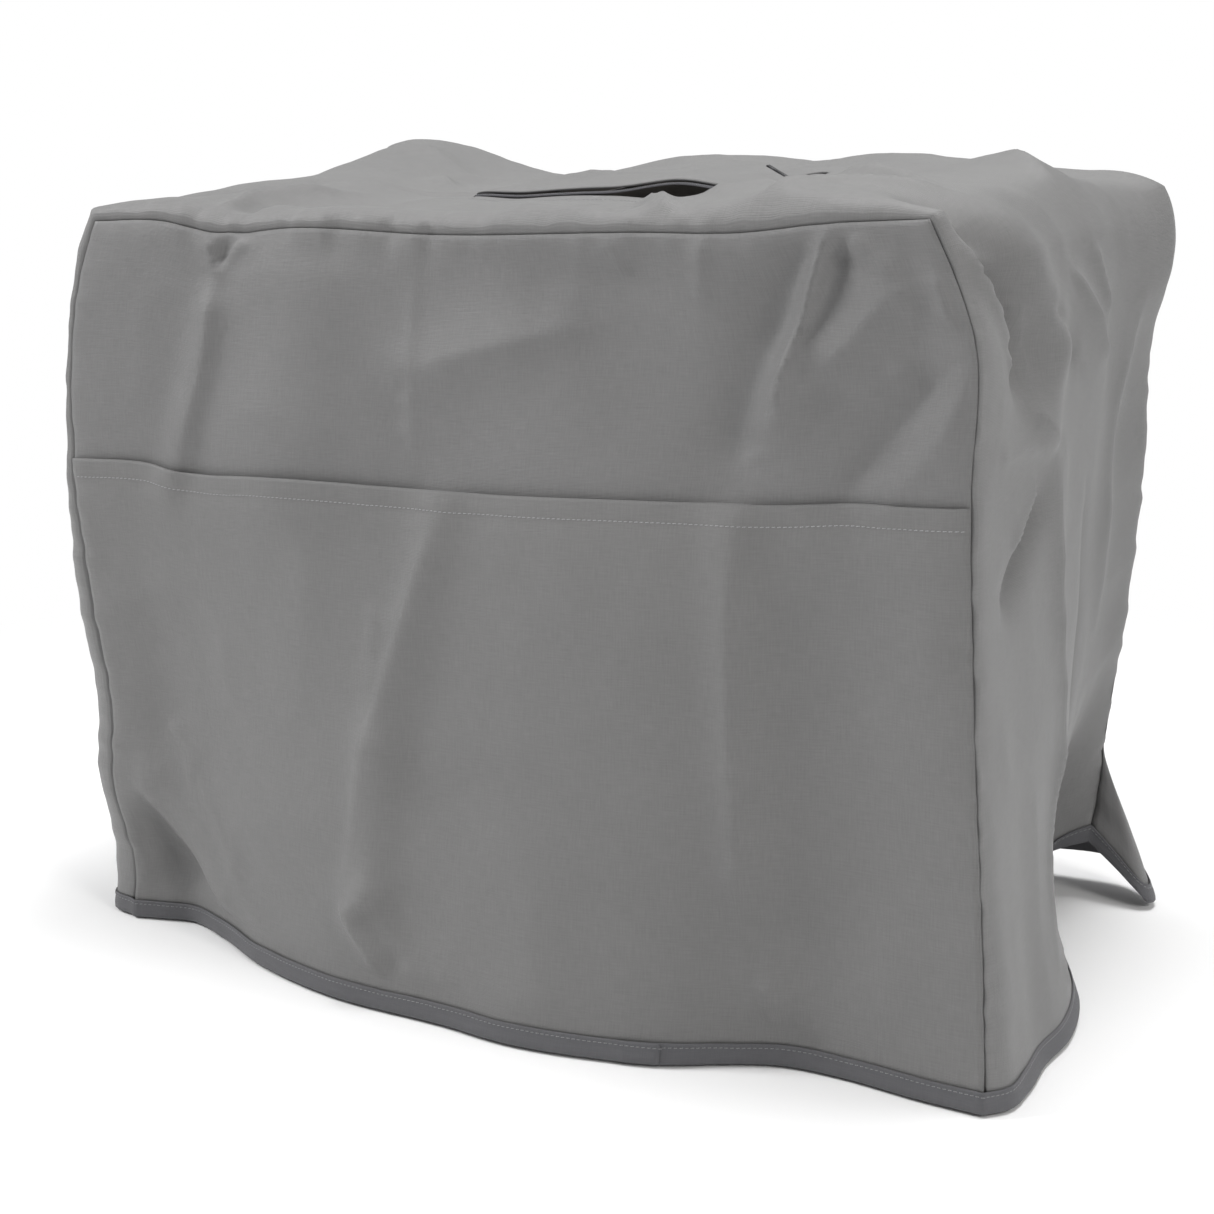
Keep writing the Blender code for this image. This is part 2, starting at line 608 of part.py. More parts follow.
def make_slider(height_at):
    """The slider stands on the closed zip at the right of the opening, with its pull tipped back."""
    metal = cloth_material("slider_metal", (0.10, 0.10, 0.105), 0.42, 0.6)
    x, y = SLIDER_X - CENTRE_X, SLIT_Y - CENTRE_Y
    half_width = SLIDER_SIZE[1] / 2
    tape_top = max(height_at(x, y - half_width), height_at(x, y + half_width)) - CLOTH - TAPE_DROP
    base = tape_top + GAP
    bpy.ops.mesh.primitive_cube_add(size=1.0, location=(x, y, base + SLIDER_SIZE[2] / 2))
    slider = bpy.context.object
    slider.name = "zip_slider"
    slider.data.transform(slider.matrix_world.to_3x3().to_4x4())
    for vertex in slider.data.vertices:
        vertex.co = [c * s for c, s in zip(vertex.co, SLIDER_SIZE)]
        if vertex.co.x < 0:
            vertex.co.y *= SLIDER_NOSE
    soften(slider, SLIDER_ROUND)
    claim(slider, metal)
    bpy.ops.mesh.primitive_cube_add(size=1.0)
    pull = bpy.context.object
    pull.name = "zip_pull"
    for vertex in pull.data.vertices:
        vertex.co.x *= PULL_LENGTH
        vertex.co.y *= PULL_WIDTH * (1.0 if vertex.co.x < 0 else PULL_TAPER)
        vertex.co.z *= PULL_THICK
    reach = PULL_LENGTH / 2 * math.cos(PULL_TILT)
    rise = PULL_LENGTH / 2 * math.sin(PULL_TILT)
    clear = PULL_THICK / 2 / math.cos(PULL_TILT) + GAP
    top = base + SLIDER_SIZE[2]
    pull.rotation_euler = (0.0, PULL_TILT, 0.0)
    pull.location = (x - reach + PULL_OVER, y, top + clear + rise)
    soften(pull, PULL_ROUND)
    claim(pull, metal)


def soften(thing, width):
    """Rounds the edges of a small hard piece."""
    bevel = thing.modifiers.new("soft_edges", "BEVEL")
    bevel.width = width
    bevel.segments = 2
    bevel.limit_method = "ANGLE"


def claim(thing, material):
    """Moves a piece into the cover's collection and gives it its material."""
    for home in list(thing.users_collection):
        home.objects.unlink(thing)
    cover.objects.link(thing)
    thing.data.materials.append(material)
    thing.data.shade_smooth()


def hem_stations(front_grid, front_normals, strip_grid, strip_normals, back_grid, back_normals):
    """The edge of the cloth all round from the front left corner, counter-clockwise seen from above.

    Each station: the cloth's cut edge, its next row of points, the way out at both, the reach outward
    of the cloth layers there and the reach inward.
    """
    pocket_reach = GAP + CLOTH
    deep = CLOTH + (CLOTH + BACK_SEAM_GAP) + GAP
    last = len(STRIP_ROWS) - 1

    def corner(panel_out, strip_out):
        return (panel_out + strip_out) / (1 + float(panel_out @ strip_out))

    def panel_stations(grid, normals, strip_row, first_end, last_end, reach):
        found = []
        for c in range(grid.shape[1]):
            low, high, inner = normals[0, c], normals[1, c], CLOTH
            for end, column in ((0, first_end), (grid.shape[1] - 1, last_end)):
                if c == end:
                    low = high = corner(normals[0, c], strip_normals[strip_row, column])
                    inner = deep
            found.append((grid[0, c], grid[1, c], low, high, reach, inner))
        return found

    def strip_stations(rows, edge, above):
        return [(strip_grid[r, edge], strip_grid[r, above], strip_normals[r, edge],
                 strip_normals[r, above], 0.0, CLOTH) for r in rows]

    return (panel_stations(front_grid, front_normals, 1, 0, -1, pocket_reach)
            + strip_stations(range(1, last), -1, -2)
            + panel_stations(back_grid, back_normals, last - 1, -1, 0, 0.0)
            + strip_stations(range(last - 1, 0, -1), 0, 1))


def make_binding(stations):
    """The folded binding: inner leg, fold on the floor and outer leg, all round, with its ends met."""
    start = min(range(TOP_STEPS), key=lambda i: abs(stations[i][0][0] + CENTRE_X - JOIN_X))
    loop = stations[start:] + stations[:start + 1]
    lines = []
    for edge, above, low, high, outer_reach, inner_reach in loop:
        row = np.linalg.norm(above - edge)
        up = (above - edge) / row
        outer = outer_reach + BINDING_GAP + TAPE
        inner = -(inner_reach + BINDING_GAP + TAPE)
        foot = edge - up * EDGE_RISE
        section = [
            (inner, BINDING_HEIGHT - INNER_SHORT),
            (inner, FOLD_RISE),
            (inner + FOLD_IN, 0.0),
            (outer - FOLD_IN, 0.0),
            (outer, FOLD_RISE),
            (outer, BINDING_HEIGHT),
        ]
        turn = [low + (high - low) * max(b - EDGE_RISE, 0.0) / row for _, b in section]
        lines.append([foot + out * a + up * b for out, (a, b) in zip(turn, section)])
    grid = np.array(lines).transpose(1, 0, 2)
    along = grid[:, 1] - grid[:, 0]
    grid[:, 0] += along / np.linalg.norm(along, axis=1)[:, None] * SEAM_GAP
    binding = grid_mesh("hem_binding", grid, cloth_material("binding", (0.140, 0.140, 0.152), 0.66))
    thicken(binding, TAPE)
    return binding


for thing in list(bpy.data.objects):
    bpy.data.objects.remove(thing)
cover = bpy.data.collections.new("welding_machine_cover")
bpy.context.scene.collection.children.link(cover)
cutters = bpy.data.collections.new("cutters")
bpy.context.scene.collection.children.link(cutters)

ORIGIN = np.array([CENTRE_X, CENTRE_Y, -LIFT])
SIDE_SHARES, POCKET_ROW = side_shares()
BACK_SHARES = back_shares()
front_panel, front_points = make_front_panel()
front_out = grid_normals(front_panel, front_points.shape)
back_panel, back_points = make_back_panel()
back_out = grid_normals(back_panel, back_points.shape)
side_top_strip, strip_points = make_strip(front_points, front_out, back_points, back_out)
strip_out = grid_normals(side_top_strip, strip_points.shape)
top_height = surface_finder(side_top_strip)
thicken(front_panel, CLOTH)
thicken(back_panel, CLOTH)
thicken(side_top_strip, CLOTH)
cut_slit(side_top_strip)
make_pocket(front_points, front_out)
make_zip_tape("zip_tape_front", -1, top_height)
make_zip_tape("zip_tape_back", 1, top_height)
make_slider(top_height)
make_binding(hem_stations(front_points, front_out, strip_points, strip_out, back_points, back_out))
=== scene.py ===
# %% [markdown]
# # A welding machine cover in grey cloth
# The real cover is a loose box of coated cloth, open at the bottom, that is pulled over a machine.
# It has a full-width pocket in front, a zipped slit in the top for the machine's handle, and a dark
# bound hem. The machine carries its top, and its walls hang and stand by their own stiffness, so the
# whole likeness is in how the sheets hang, roll over the edges and crease.
#
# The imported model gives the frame: every piece made here lies in the space of the solid it stands for.

# %% Load the frame
import math

import bmesh
import bpy
import numpy as np
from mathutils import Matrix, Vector
from mathutils.bvhtree import BVHTree


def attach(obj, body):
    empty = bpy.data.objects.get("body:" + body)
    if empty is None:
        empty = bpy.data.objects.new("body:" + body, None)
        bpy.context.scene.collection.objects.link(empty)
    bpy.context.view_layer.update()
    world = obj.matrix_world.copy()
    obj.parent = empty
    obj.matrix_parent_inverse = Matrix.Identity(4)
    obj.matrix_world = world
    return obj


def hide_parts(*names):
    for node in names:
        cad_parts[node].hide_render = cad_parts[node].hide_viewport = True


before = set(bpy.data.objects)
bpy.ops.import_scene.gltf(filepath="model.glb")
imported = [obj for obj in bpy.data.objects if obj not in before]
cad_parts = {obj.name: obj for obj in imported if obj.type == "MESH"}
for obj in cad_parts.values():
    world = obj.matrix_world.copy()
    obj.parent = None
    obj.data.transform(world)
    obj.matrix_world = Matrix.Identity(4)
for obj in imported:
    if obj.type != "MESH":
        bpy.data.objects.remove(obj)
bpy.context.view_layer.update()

# %% [markdown]
# ## Short ways to make things
# Blender keeps what a thing is, such as a mesh, a lamp or a camera, apart from the object that puts
# it in the scene. Shader nodes are added, set and joined one by one. With these helpers each of
# those takes one line, so the cells below show the recipe and not the bookkeeping.

# %% Object and node helpers
def new_object(name, data):
    """An object for a mesh, a lamp or a camera, put in the scene."""
    thing = bpy.data.objects.new(name, data)
    bpy.context.scene.collection.objects.link(thing)
    return thing


def set_inputs(node, **values):
    """Sets a node's inputs by name, where an underscore stands for a space."""
    for label, value in values.items():
        node.inputs[label.replace("_", " ")].default_value = value


def add_node(tree, kind, **values):
    """A shader node of a kind, with some of its inputs set."""
    node = tree.nodes.new("ShaderNode" + kind)
    set_inputs(node, **values)
    return node


def join_nodes(tree, *links):
    """Joins nodes, each link given as node, output, node, input."""
    for source, output, target, label in links:
        tree.links.new(source.outputs[output], target.inputs[label])


print("helpers ready")

# %% [markdown]
# ## The camera
# The picture was taken from a little to the right and slightly above the top, with a short
# telephoto lens. A plain camera with those angles gives the same view, so no shift is needed.

# %% Camera
AZIMUTH = math.radians(29.8)
PITCH = math.radians(11.8)
CAMERA_PLACE = (0.6858, -1.2255, 0.4989)
LENS = 67.14              # millimetres, on a sensor 36 mm wide

camera_data = bpy.data.cameras.new("camera")
camera_data.sensor_width = 36.0
camera_data.lens = LENS
camera_data.clip_end = 60.0
camera = new_object("camera", camera_data)
camera.location = CAMERA_PLACE
camera.rotation_euler = (math.pi / 2 - PITCH, 0.0, AZIMUTH)
bpy.context.scene.camera = camera
print("camera at", CAMERA_PLACE)

# %% [markdown]
# ## The studio
# The cover stands in a white room. A white world lights it from all round, a large soft lamp above
# and to the left models the folds, and a weaker one on the right keeps that side from going flat.
# Light also gets in under the real hem, so a very weak lamp inside keeps the open slit from being black.
# The world is brighter to the camera than to the cloth, so that the backdrop stays white.

# %% World and floor
FLOOR_SIZE = 30.0
FLOOR_DROP = 0.0006       # the floor's face lies this far below the hem
WORLD_LIGHT = 0.34
WORLD_SEEN = 1.0
view_settings = bpy.context.scene.view_settings
view_settings.view_transform = "Standard"
view_settings.look = "None"

world = bpy.data.worlds.new("white_room")
bpy.context.scene.world = world
world.use_nodes = True
room = world.node_tree
room.nodes.clear()
seen = add_node(room, "Background", Color=(1.0, 1.0, 1.0, 1.0), Strength=WORLD_SEEN)
lit = add_node(room, "Background", Color=(0.985, 0.99, 1.0, 1.0), Strength=WORLD_LIGHT)
ray = add_node(room, "LightPath")
choice = add_node(room, "MixShader")
room_out = add_node(room, "OutputWorld")
join_nodes(
    room,
    (ray, "Is Camera Ray", choice, "Fac"),
    (lit, 0, choice, 1),
    (seen, 0, choice, 2),
    (choice, 0, room_out, "Surface"),
)

floor_mesh = bpy.data.meshes.new("floor")
shape = bmesh.new()
bmesh.ops.create_grid(shape, x_segments=2, y_segments=2, size=FLOOR_SIZE / 2)
shape.to_mesh(floor_mesh)
shape.free()
floor = new_object("floor", floor_mesh)
floor.location.z = -FLOOR_DROP
print("white room and floor")


# %% Lamps
def lamp(name, place, aim, size, power, colour):
    """A square soft lamp at a place, turned to what it lights."""
    data = bpy.data.lights.new(name, "AREA")
    data.size = size
    data.energy = power
    data.color = colour
    thing = new_object(name, data)
    thing.location = place
    thing.rotation_euler = (Vector(aim) - Vector(place)).to_track_quat("-Z", "Y").to_euler()


# Name, place, what it lights, size, power, colour
LAMPS = [
    ("key_left", (-2.2, -1.1, 1.9), (0.0, 0.0, 0.25), 0.8, 58.0, (1.0, 1.0, 1.0)),
    ("top_soft", (0.3, 0.3, 2.6), (0.0, 0.0, 0.45), 1.1, 50.0, (1.0, 1.0, 1.0)),
    ("fill_right", (2.4, -1.2, 1.7), (0.1, 0.0, 0.25), 0.8, 27.0, (1.0, 0.985, 0.965)),
    ("light_inside", (-0.05, 0.02, 0.06), (0.02, 0.01, 0.45), 0.22, 0.30, (1.0, 0.93, 0.86)),
]
for row in LAMPS:
    lamp(*row)
print("lamps:", len(LAMPS))

# %% [markdown]
# ## Finishes
# Every cloth on the cover is the same oxford weave, coated on the inside. What the eye sees is a
# mid grey, a very fine grain of crossing threads, faint streaks where a thread is thicker, and a
# slow change of tone from wear and folding. The weave and the tone are each one node group, so the
# panels, the binding and the tapes can share them with their own numbers. They read a UV map in
# metres that is laid along the threads, because a woven grain has to follow the cut of the cloth.

# %% Helpers for node groups
def new_group(name, inputs, outputs):
    """An empty shader node group with named sockets, and its two end nodes."""
    group = bpy.data.node_groups.new(name, "ShaderNodeTree")
    for label, kind, value in inputs:
        socket = group.interface.new_socket(label, in_out="INPUT", socket_type="NodeSocket" + kind)
        if value is not None:
            socket.default_value = value
    for label, kind in outputs:
        group.interface.new_socket(label, in_out="OUTPUT", socket_type="NodeSocket" + kind)
    start = group.nodes.new("NodeGroupInput")
    end = group.nodes.new("NodeGroupOutput")
    return group, start, end


def math_node(group, operation, *values):
    """A Math node whose inputs are sockets or numbers; gives its output."""
    node = add_node(group, "Math")
    node.operation = operation
    for socket, value in zip(node.inputs, values):
        if isinstance(value, (int, float)):
            socket.default_value = value
        else:
            group.links.new(value, socket)
    return node.outputs[0]


def noise_node(group, place, scale, detail, roughness=0.5):
    """A Noise texture read at a place; gives its value."""
    node = add_node(group, "TexNoise", Scale=scale, Detail=detail, Roughness=roughness)
    group.links.new(place, node.inputs["Vector"])
    return node.outputs["Fac"]


def stretched(group, place, scale):
    """A place with its axes scaled one by one, for streaks."""
    node = add_node(group, "Mapping", Scale=scale)
    group.links.new(place, node.inputs["Vector"])
    return node.outputs[0]


print("group helpers ready")

# %% Weave group
STREAK_FINE, STREAK_LONG = 1400.0, 90.0   # how closely slubs follow each other across and along a thread
SLUB_SHARE = 0.9                          # how much the slubs add to the ribs of the weave

weave, start, end = new_group(
    "oxford_weave",
    [("Place", "Vector", None), ("Threads", "Float", 1350.0)],
    [("Height", "Float"), ("Streak", "Float")],
)
split = add_node(weave, "SeparateXYZ")
weave.links.new(start.outputs["Place"], split.inputs[0])
turns = math_node(weave, "MULTIPLY", start.outputs["Threads"], math.pi)
along = math_node(weave, "SINE", math_node(weave, "MULTIPLY", split.outputs["X"], turns))
across = math_node(weave, "SINE", math_node(weave, "MULTIPLY", split.outputs["Y"], turns))
ribs = math_node(weave, "ABSOLUTE", math_node(weave, "MULTIPLY", along, across))
warp, weft = (
    noise_node(weave, stretched(weave, start.outputs["Place"], (*scale, 1.0)), 1.0, 1.0)
    for scale in ((STREAK_FINE, STREAK_LONG), (STREAK_LONG, STREAK_FINE))
)
slubs = math_node(weave, "ADD", warp, weft)
weave.links.new(slubs, end.inputs["Streak"])
raised = math_node(weave, "ADD", ribs, math_node(weave, "MULTIPLY", slubs, SLUB_SHARE))
weave.links.new(raised, end.inputs["Height"])
print("group:", weave.name, "with", len(weave.nodes), "nodes")

# %% Tone group
CLOUD_SHARE = 0.75        # slow clouds of tone against smaller patches
STREAK_SHARE = 0.9

tone, start, end = new_group(
    "worn_tone",
    [("Place", "Vector", None), ("Streak", "Float", 1.0),
     ("Dark", "Color", (0.20, 0.20, 0.20, 1.0)), ("Light", "Color", (0.25, 0.25, 0.25, 1.0))],
    [("Colour", "Color"), ("Wear", "Float")],
)
clouds = noise_node(tone, start.outputs["Place"], 5.5, 3.0, 0.55)
patches = noise_node(tone, start.outputs["Place"], 38.0, 2.0)
from_middle = math_node(tone, "SUBTRACT", start.outputs["Streak"], 1.0)
grain = math_node(tone, "MULTIPLY", from_middle, STREAK_SHARE)
clouds = math_node(tone, "MULTIPLY", clouds, CLOUD_SHARE)
patches = math_node(tone, "MULTIPLY", patches, 1 - CLOUD_SHARE)
wear = math_node(tone, "ADD", clouds, patches)
greys = add_node(tone, "Mix")
greys.data_type = "RGBA"
tone.links.new(math_node(tone, "ADD", wear, grain), greys.inputs["Factor"])
join_nodes(
    tone,
    (start, "Dark", greys, "A"),
    (start, "Light", greys, "B"),
    (greys, "Result", end, "Colour"),
)
tone.links.new(wear, end.inputs["Wear"])
print("group:", tone.name, "with", len(tone.nodes), "nodes")

# %% [markdown]
# A woven finish is the same recipe each time: place, weave, tone, and then a Principled shader with
# a soft sheen. Only the two greys, the thread count and the depth of the grain differ, so one
# function makes the cloth, the binding tape and the zip tapes from a row of a table.

# %% Woven materials
GLOSS_SPREAD = 0.08       # how far the roughness wanders to either side with the wear


def new_material(name, **values):
    """A material, its node tree and its Principled shader with some inputs set."""
    material = bpy.data.materials.new(name)
    material.use_nodes = True
    shader = material.node_tree.nodes["Principled BSDF"]
    set_inputs(shader, **values)
    return material, material.node_tree, shader


def woven(name, dark, light, threads, depth, roughness, sheen):
    """A cloth material that reads the weave and the tone along the threads."""
    material, tree, shader = new_material(
        name, Sheen_Weight=sheen, Sheen_Roughness=0.45, Specular_IOR_Level=0.42)
    place = add_node(tree, "UVMap")
    place.uv_map = "cloth"
    grain, colour = add_node(tree, "Group"), add_node(tree, "Group")
    grain.node_tree = weave
    colour.node_tree = tone
    set_inputs(grain, Threads=threads)
    set_inputs(colour, Dark=(*dark, 1.0), Light=(*light, 1.0))
    gloss = add_node(tree, "MapRange", To_Min=roughness - GLOSS_SPREAD, To_Max=roughness + GLOSS_SPREAD)
    bump = add_node(tree, "Bump", Strength=0.55, Distance=depth)
    join_nodes(
        tree,
        (place, 0, grain, "Place"),
        (place, 0, colour, "Place"),
        (grain, "Streak", colour, "Streak"),
        (colour, "Colour", shader, "Base Color"),
        (colour, "Wear", gloss, "Value"),
        (gloss, "Result", shader, "Roughness"),
        (grain, "Height", bump, "Height"),
        (bump, "Normal", shader, "Normal"),
    )
    return material


# Name, dark grey, light grey, threads in a metre, depth of the grain in metres, roughness, sheen
WOVEN = [
    ("cloth_front", (0.150, 0.149, 0.149), (0.192, 0.190, 0.189), 1350.0, 0.00022, 0.52, 0.10),
    ("cloth_pocket", (0.149, 0.148, 0.147), (0.190, 0.188, 0.186), 1350.0, 0.00022, 0.52, 0.10),
    ("cloth_back", (0.148, 0.147, 0.147), (0.189, 0.187, 0.186), 1350.0, 0.00022, 0.54, 0.10),
    ("cloth_strip", (0.152, 0.151, 0.151), (0.196, 0.194, 0.192), 1350.0, 0.00022, 0.50, 0.12),
    ("binding_tape", (0.088, 0.088, 0.094), (0.116, 0.116, 0.124), 1700.0, 0.00020, 0.60, 0.08),
    ("zip_cloth", (0.110, 0.109, 0.124), (0.150, 0.148, 0.165), 1900.0, 0.00018, 0.62, 0.06),
    ("coil_nylon", (0.10, 0.10, 0.108), (0.15, 0.15, 0.16), 900.0, 0.00005, 0.38, 0.0),
]
finish = {row[0]: woven(*row) for row in WOVEN}
print("woven finishes:", ", ".join(finish))

# %% [markdown]
# ## Thread and metal
# The stitches are a twisted polyester thread, paler than the cloth. The twist is a fine slanted
# wave. The slider and its pull are cast zinc with a dark grey paint, rubbed brighter at its edges.

# %% Thread and slider materials
def two_greys(tree, dark, light):
    """A Mix node from a dark to a light grey."""
    node = add_node(tree, "Mix")
    node.data_type = "RGBA"
    set_inputs(node, A=(*dark, 1.0), B=(*light, 1.0))
    return node


def thread_material(name, dark, light):
    """Twisted thread: slanted bands in object space, paler and darker by turns."""
    material, tree, shader = new_material(name, Roughness=0.48, Sheen_Weight=0.15)
    place = add_node(tree, "TexCoord")
    twist = add_node(tree, "TexWave", Scale=420.0, Distortion=1.5)
    twist.bands_direction = "DIAGONAL"
    colour = two_greys(tree, dark, light)
    bump = add_node(tree, "Bump", Strength=0.5, Distance=0.00008)
    join_nodes(
        tree,
        (place, "Object", twist, "Vector"),
        (twist, "Fac", colour, "Factor"),
        (twist, "Fac", bump, "Height"),
        (colour, "Result", shader, "Base Color"),
        (bump, "Normal", shader, "Normal"),
    )
    return material


def painted_metal(name):
    """Dark paint on cast metal: fine orange peel and a rubbed, brighter tone in places."""
    material, tree, shader = new_material(name, Metallic=0.6)
    place = add_node(tree, "TexCoord")
    rub = add_node(tree, "TexNoise", Scale=420.0, Detail=4.0)
    colour = add_node(tree, "ValToRGB")
    paint, metal = colour.color_ramp.elements
    paint.position, metal.position = 0.42, 0.72
    paint.color = (0.035, 0.035, 0.037, 1.0)
    metal.color = (0.13, 0.13, 0.135, 1.0)
    gloss = add_node(tree, "MapRange", To_Min=0.30, To_Max=0.50)
    bump = add_node(tree, "Bump", Strength=0.25, Distance=0.0001)
    join_nodes(
        tree,
        (place, "Object", rub, "Vector"),
        (rub, "Fac", colour, "Fac"),
        (rub, "Fac", gloss, "Value"),
        (rub, "Fac", bump, "Height"),
        (colour, "Color", shader, "Base Color"),
        (gloss, "Result", shader, "Roughness"),
        (bump, "Normal", shader, "Normal"),
    )
    return material


pale_thread = thread_material("pale_thread", (0.27, 0.27, 0.275), (0.40, 0.40, 0.405))
grey_thread = thread_material("grey_thread", (0.17, 0.17, 0.175), (0.26, 0.26, 0.265))
slider_metal = painted_metal("slider_metal")
print("small finishes:", pale_thread.name, grey_thread.name, slider_metal.name)

# %% [markdown]
# The floor is matt white. A real backdrop has no edge in the picture, so a little way out from the
# cover the floor passes into plain white light, and the shadow close to the hem is all that shows.

# %% Floor material
MELT_FROM, MELT_TO = 0.42, 1.10   # where the floor starts and ends to melt away, from the middle


def plain_floor():
    """A matt white floor that melts into the white backdrop."""
    material, tree, shader = new_material("white_floor", Roughness=0.9, Specular_IOR_Level=0.1)
    place = add_node(tree, "TexCoord")
    cloud = add_node(tree, "TexNoise", Scale=1.2)
    colour = two_greys(tree, (0.93, 0.93, 0.93), (0.96, 0.96, 0.96))
    glow = add_node(tree, "Emission")
    reach = add_node(tree, "VectorMath")
    reach.operation = "LENGTH"
    fade = add_node(tree, "MapRange", From_Min=MELT_FROM, From_Max=MELT_TO)
    fade.interpolation_type = "SMOOTHSTEP"
    both = add_node(tree, "MixShader")
    join_nodes(
        tree,
        (place, "Object", cloud, "Vector"),
        (cloud, "Fac", colour, "Factor"),
        (colour, "Result", shader, "Base Color"),
        (place, "Object", reach, 0),
        (reach, "Value", fade, "Value"),
        (fade, "Result", both, "Fac"),
        (shader, 0, both, 1),
        (glow, 0, both, 2),
        (both, 0, tree.nodes["Material Output"], "Surface"),
    )
    return material


floor_mesh.materials.append(plain_floor())
print("floor finish:", floor_mesh.materials[0].name)

# %% [markdown]
# ## The pattern's seams
# A cover is sewn from flat cuts, and its shape is set by where the seams and the hem end up. Each
# seam is a short table of places along it, read in a frame whose X starts at the front left corner
# and whose Y starts at the flat front. The solids of the model use the same tables, so the fine
# sheets made from them lie in the same space.

# %% Sizes of the cloth
CLOTH = 0.0012            # thickness of the coated cloth
TAPE = 0.0008             # thickness of the binding and of the zip tapes
GAP = 0.0003              # clearance between layers
SEAM_GAP = 0.0005
BACK_SEAM_GAP = 0.0011
BINDING_GAP = 0.0005
BINDING_HEIGHT = 0.012
EDGE_RISE = 0.0034        # the cloth's cut edge above the fold of the binding
FIRST_ROW = 0.0145        # the cloth is straight up to here, inside the binding
SIDE_HEIGHT = 0.450       # hem to top seam, along the cloth
PANEL_WIDTH = 0.560
DEPTH = 0.352
ORIGIN = np.array([0.2772, 0.1685, -0.0009])
SIDE_STEPS = 139          # mesh steps up a side, about 3 mm each
TOP_STEPS = 180           # mesh steps along the top
POCKET_SHARE = 0.668      # height of the pocket's top edge as a share of the panel

# %% Corners that the seams and the hem share: x, y, z
FRONT_LEFT_FOOT = (0.000, 0.008, 0.0)
FRONT_RIGHT_FOOT = (0.588, -0.009, 0.0)
BACK_RIGHT_FOOT = (0.525, 0.352, 0.038)
BACK_LEFT_FOOT = (-0.018, 0.345, 0.0)
FRONT_LEFT_TOP = (-0.002, 0.000, 0.446)
FRONT_RIGHT_TOP = (0.540, 0.000, 0.457)
BACK_LEFT_TOP = (-0.014, 0.352, 0.482)
BACK_RIGHT_TOP = (0.550, 0.352, 0.457)
print("eight corners")

# %% Hem tables: share along, x, y, z
FRONT_HEM = [
    (0.00, *FRONT_LEFT_FOOT),
    (0.04, 0.016, 0.013, 0.0),
    (0.09, 0.040, 0.019, 0.0),
    (0.15, 0.074, 0.006, 0.0),
    (0.25, 0.127, -0.022, 0.0),
    (0.36, 0.193, -0.042, 0.0),
    (0.50, 0.278, -0.047, 0.0),
    (0.58, 0.324, -0.052, 0.0),
    (0.66, 0.372, -0.046, 0.0),
    (0.73, 0.415, -0.033, 0.0),
    (0.78, 0.440, -0.017, 0.0),
    (0.83, 0.468, -0.003, 0.0),
    (0.89, 0.505, -0.001, 0.0),
    (0.95, 0.552, -0.007, 0.0),
    (1.00, *FRONT_RIGHT_FOOT),
]
RIGHT_HEM = [
    (0.00, *FRONT_RIGHT_FOOT),
    (0.04, 0.597, 0.003, 0.0),
    (0.10, 0.598, 0.028, 0.0),
    (0.19, 0.594, 0.065, 0.0),
    (0.30, 0.594, 0.108, 0.0),
    (0.42, 0.582, 0.160, 0.001),
    (0.57, 0.547, 0.225, 0.003),
    (0.71, 0.514, 0.285, 0.009),
    (0.82, 0.498, 0.322, 0.017),
    (0.91, 0.500, 0.342, 0.028),
    (0.96, 0.513, 0.348, 0.034),
    (1.00, *BACK_RIGHT_FOOT),
]
LEFT_HEM = [
    (0.00, *FRONT_LEFT_FOOT),
    (0.03, -0.019, 0.012, 0.0),
    (0.08, -0.028, 0.030, 0.0),
    (0.20, -0.028, 0.072, 0.0),
    (0.42, -0.010, 0.148, 0.0),
    (0.62, -0.020, 0.214, 0.0),
    (0.82, -0.034, 0.290, 0.0),
    (1.00, *BACK_LEFT_FOOT),
]
BACK_HEM = [
    (0.00, *BACK_LEFT_FOOT),
    (0.10, 0.022, 0.368, 0.0),
    (0.25, 0.110, 0.386, 0.0),
    (0.40, 0.200, 0.371, 0.0),
    (0.55, 0.290, 0.387, 0.0),
    (0.70, 0.400, 0.391, 0.0),
    (0.80, 0.458, 0.384, 0.008),
    (0.88, 0.488, 0.376, 0.022),
    (0.94, 0.506, 0.364, 0.030),
    (1.00, *BACK_RIGHT_FOOT),
]
# The loose flap at the back right corner. Share along the back hem, push in x, y, z
FLAP = [
    (0.00, 0.0, 0.0, 0.0),
    (0.80, 0.0, 0.0, 0.0),
    (0.86, 0.016, 0.010, 0.0),
    (0.905, 0.048, 0.014, -0.010),
    (0.935, 0.062, -0.003, -0.027),
    (0.955, 0.055, -0.013, -0.027),
    (0.98, 0.026, -0.007, -0.012),
    (1.00, 0.0, 0.0, 0.0),
]
FLAP_HEIGHT = 0.112
FLAP_FADE = 0.68
print("hem tables:", len(FRONT_HEM) + len(RIGHT_HEM) + len(LEFT_HEM) + len(BACK_HEM), "rows")

# %% Seam tables: share along, x, y, z
LEFT_FRONT_SEAM = [
    (0.00, *FRONT_LEFT_FOOT),
    (0.10, 0.003, 0.004, 0.045),
    (0.18, -0.006, 0.001, 0.080),
    (0.33, -0.006, 0.000, 0.148),
    (0.47, -0.018, 0.000, 0.211),
    (0.67, -0.028, 0.000, 0.300),
    (0.85, -0.024, 0.000, 0.380),
    (0.95, -0.012, 0.000, 0.425),
    (1.00, *FRONT_LEFT_TOP),
]
RIGHT_FRONT_SEAM = [
    (0.00, *FRONT_RIGHT_FOOT),
    (0.19, 0.580, 0.000, 0.087),
    (0.36, 0.574, 0.000, 0.168),
    (0.668, 0.566, 0.000, 0.315),
    (0.87, 0.564, 0.000, 0.403),
    (0.94, 0.553, 0.000, 0.431),
    (1.00, *FRONT_RIGHT_TOP),
]
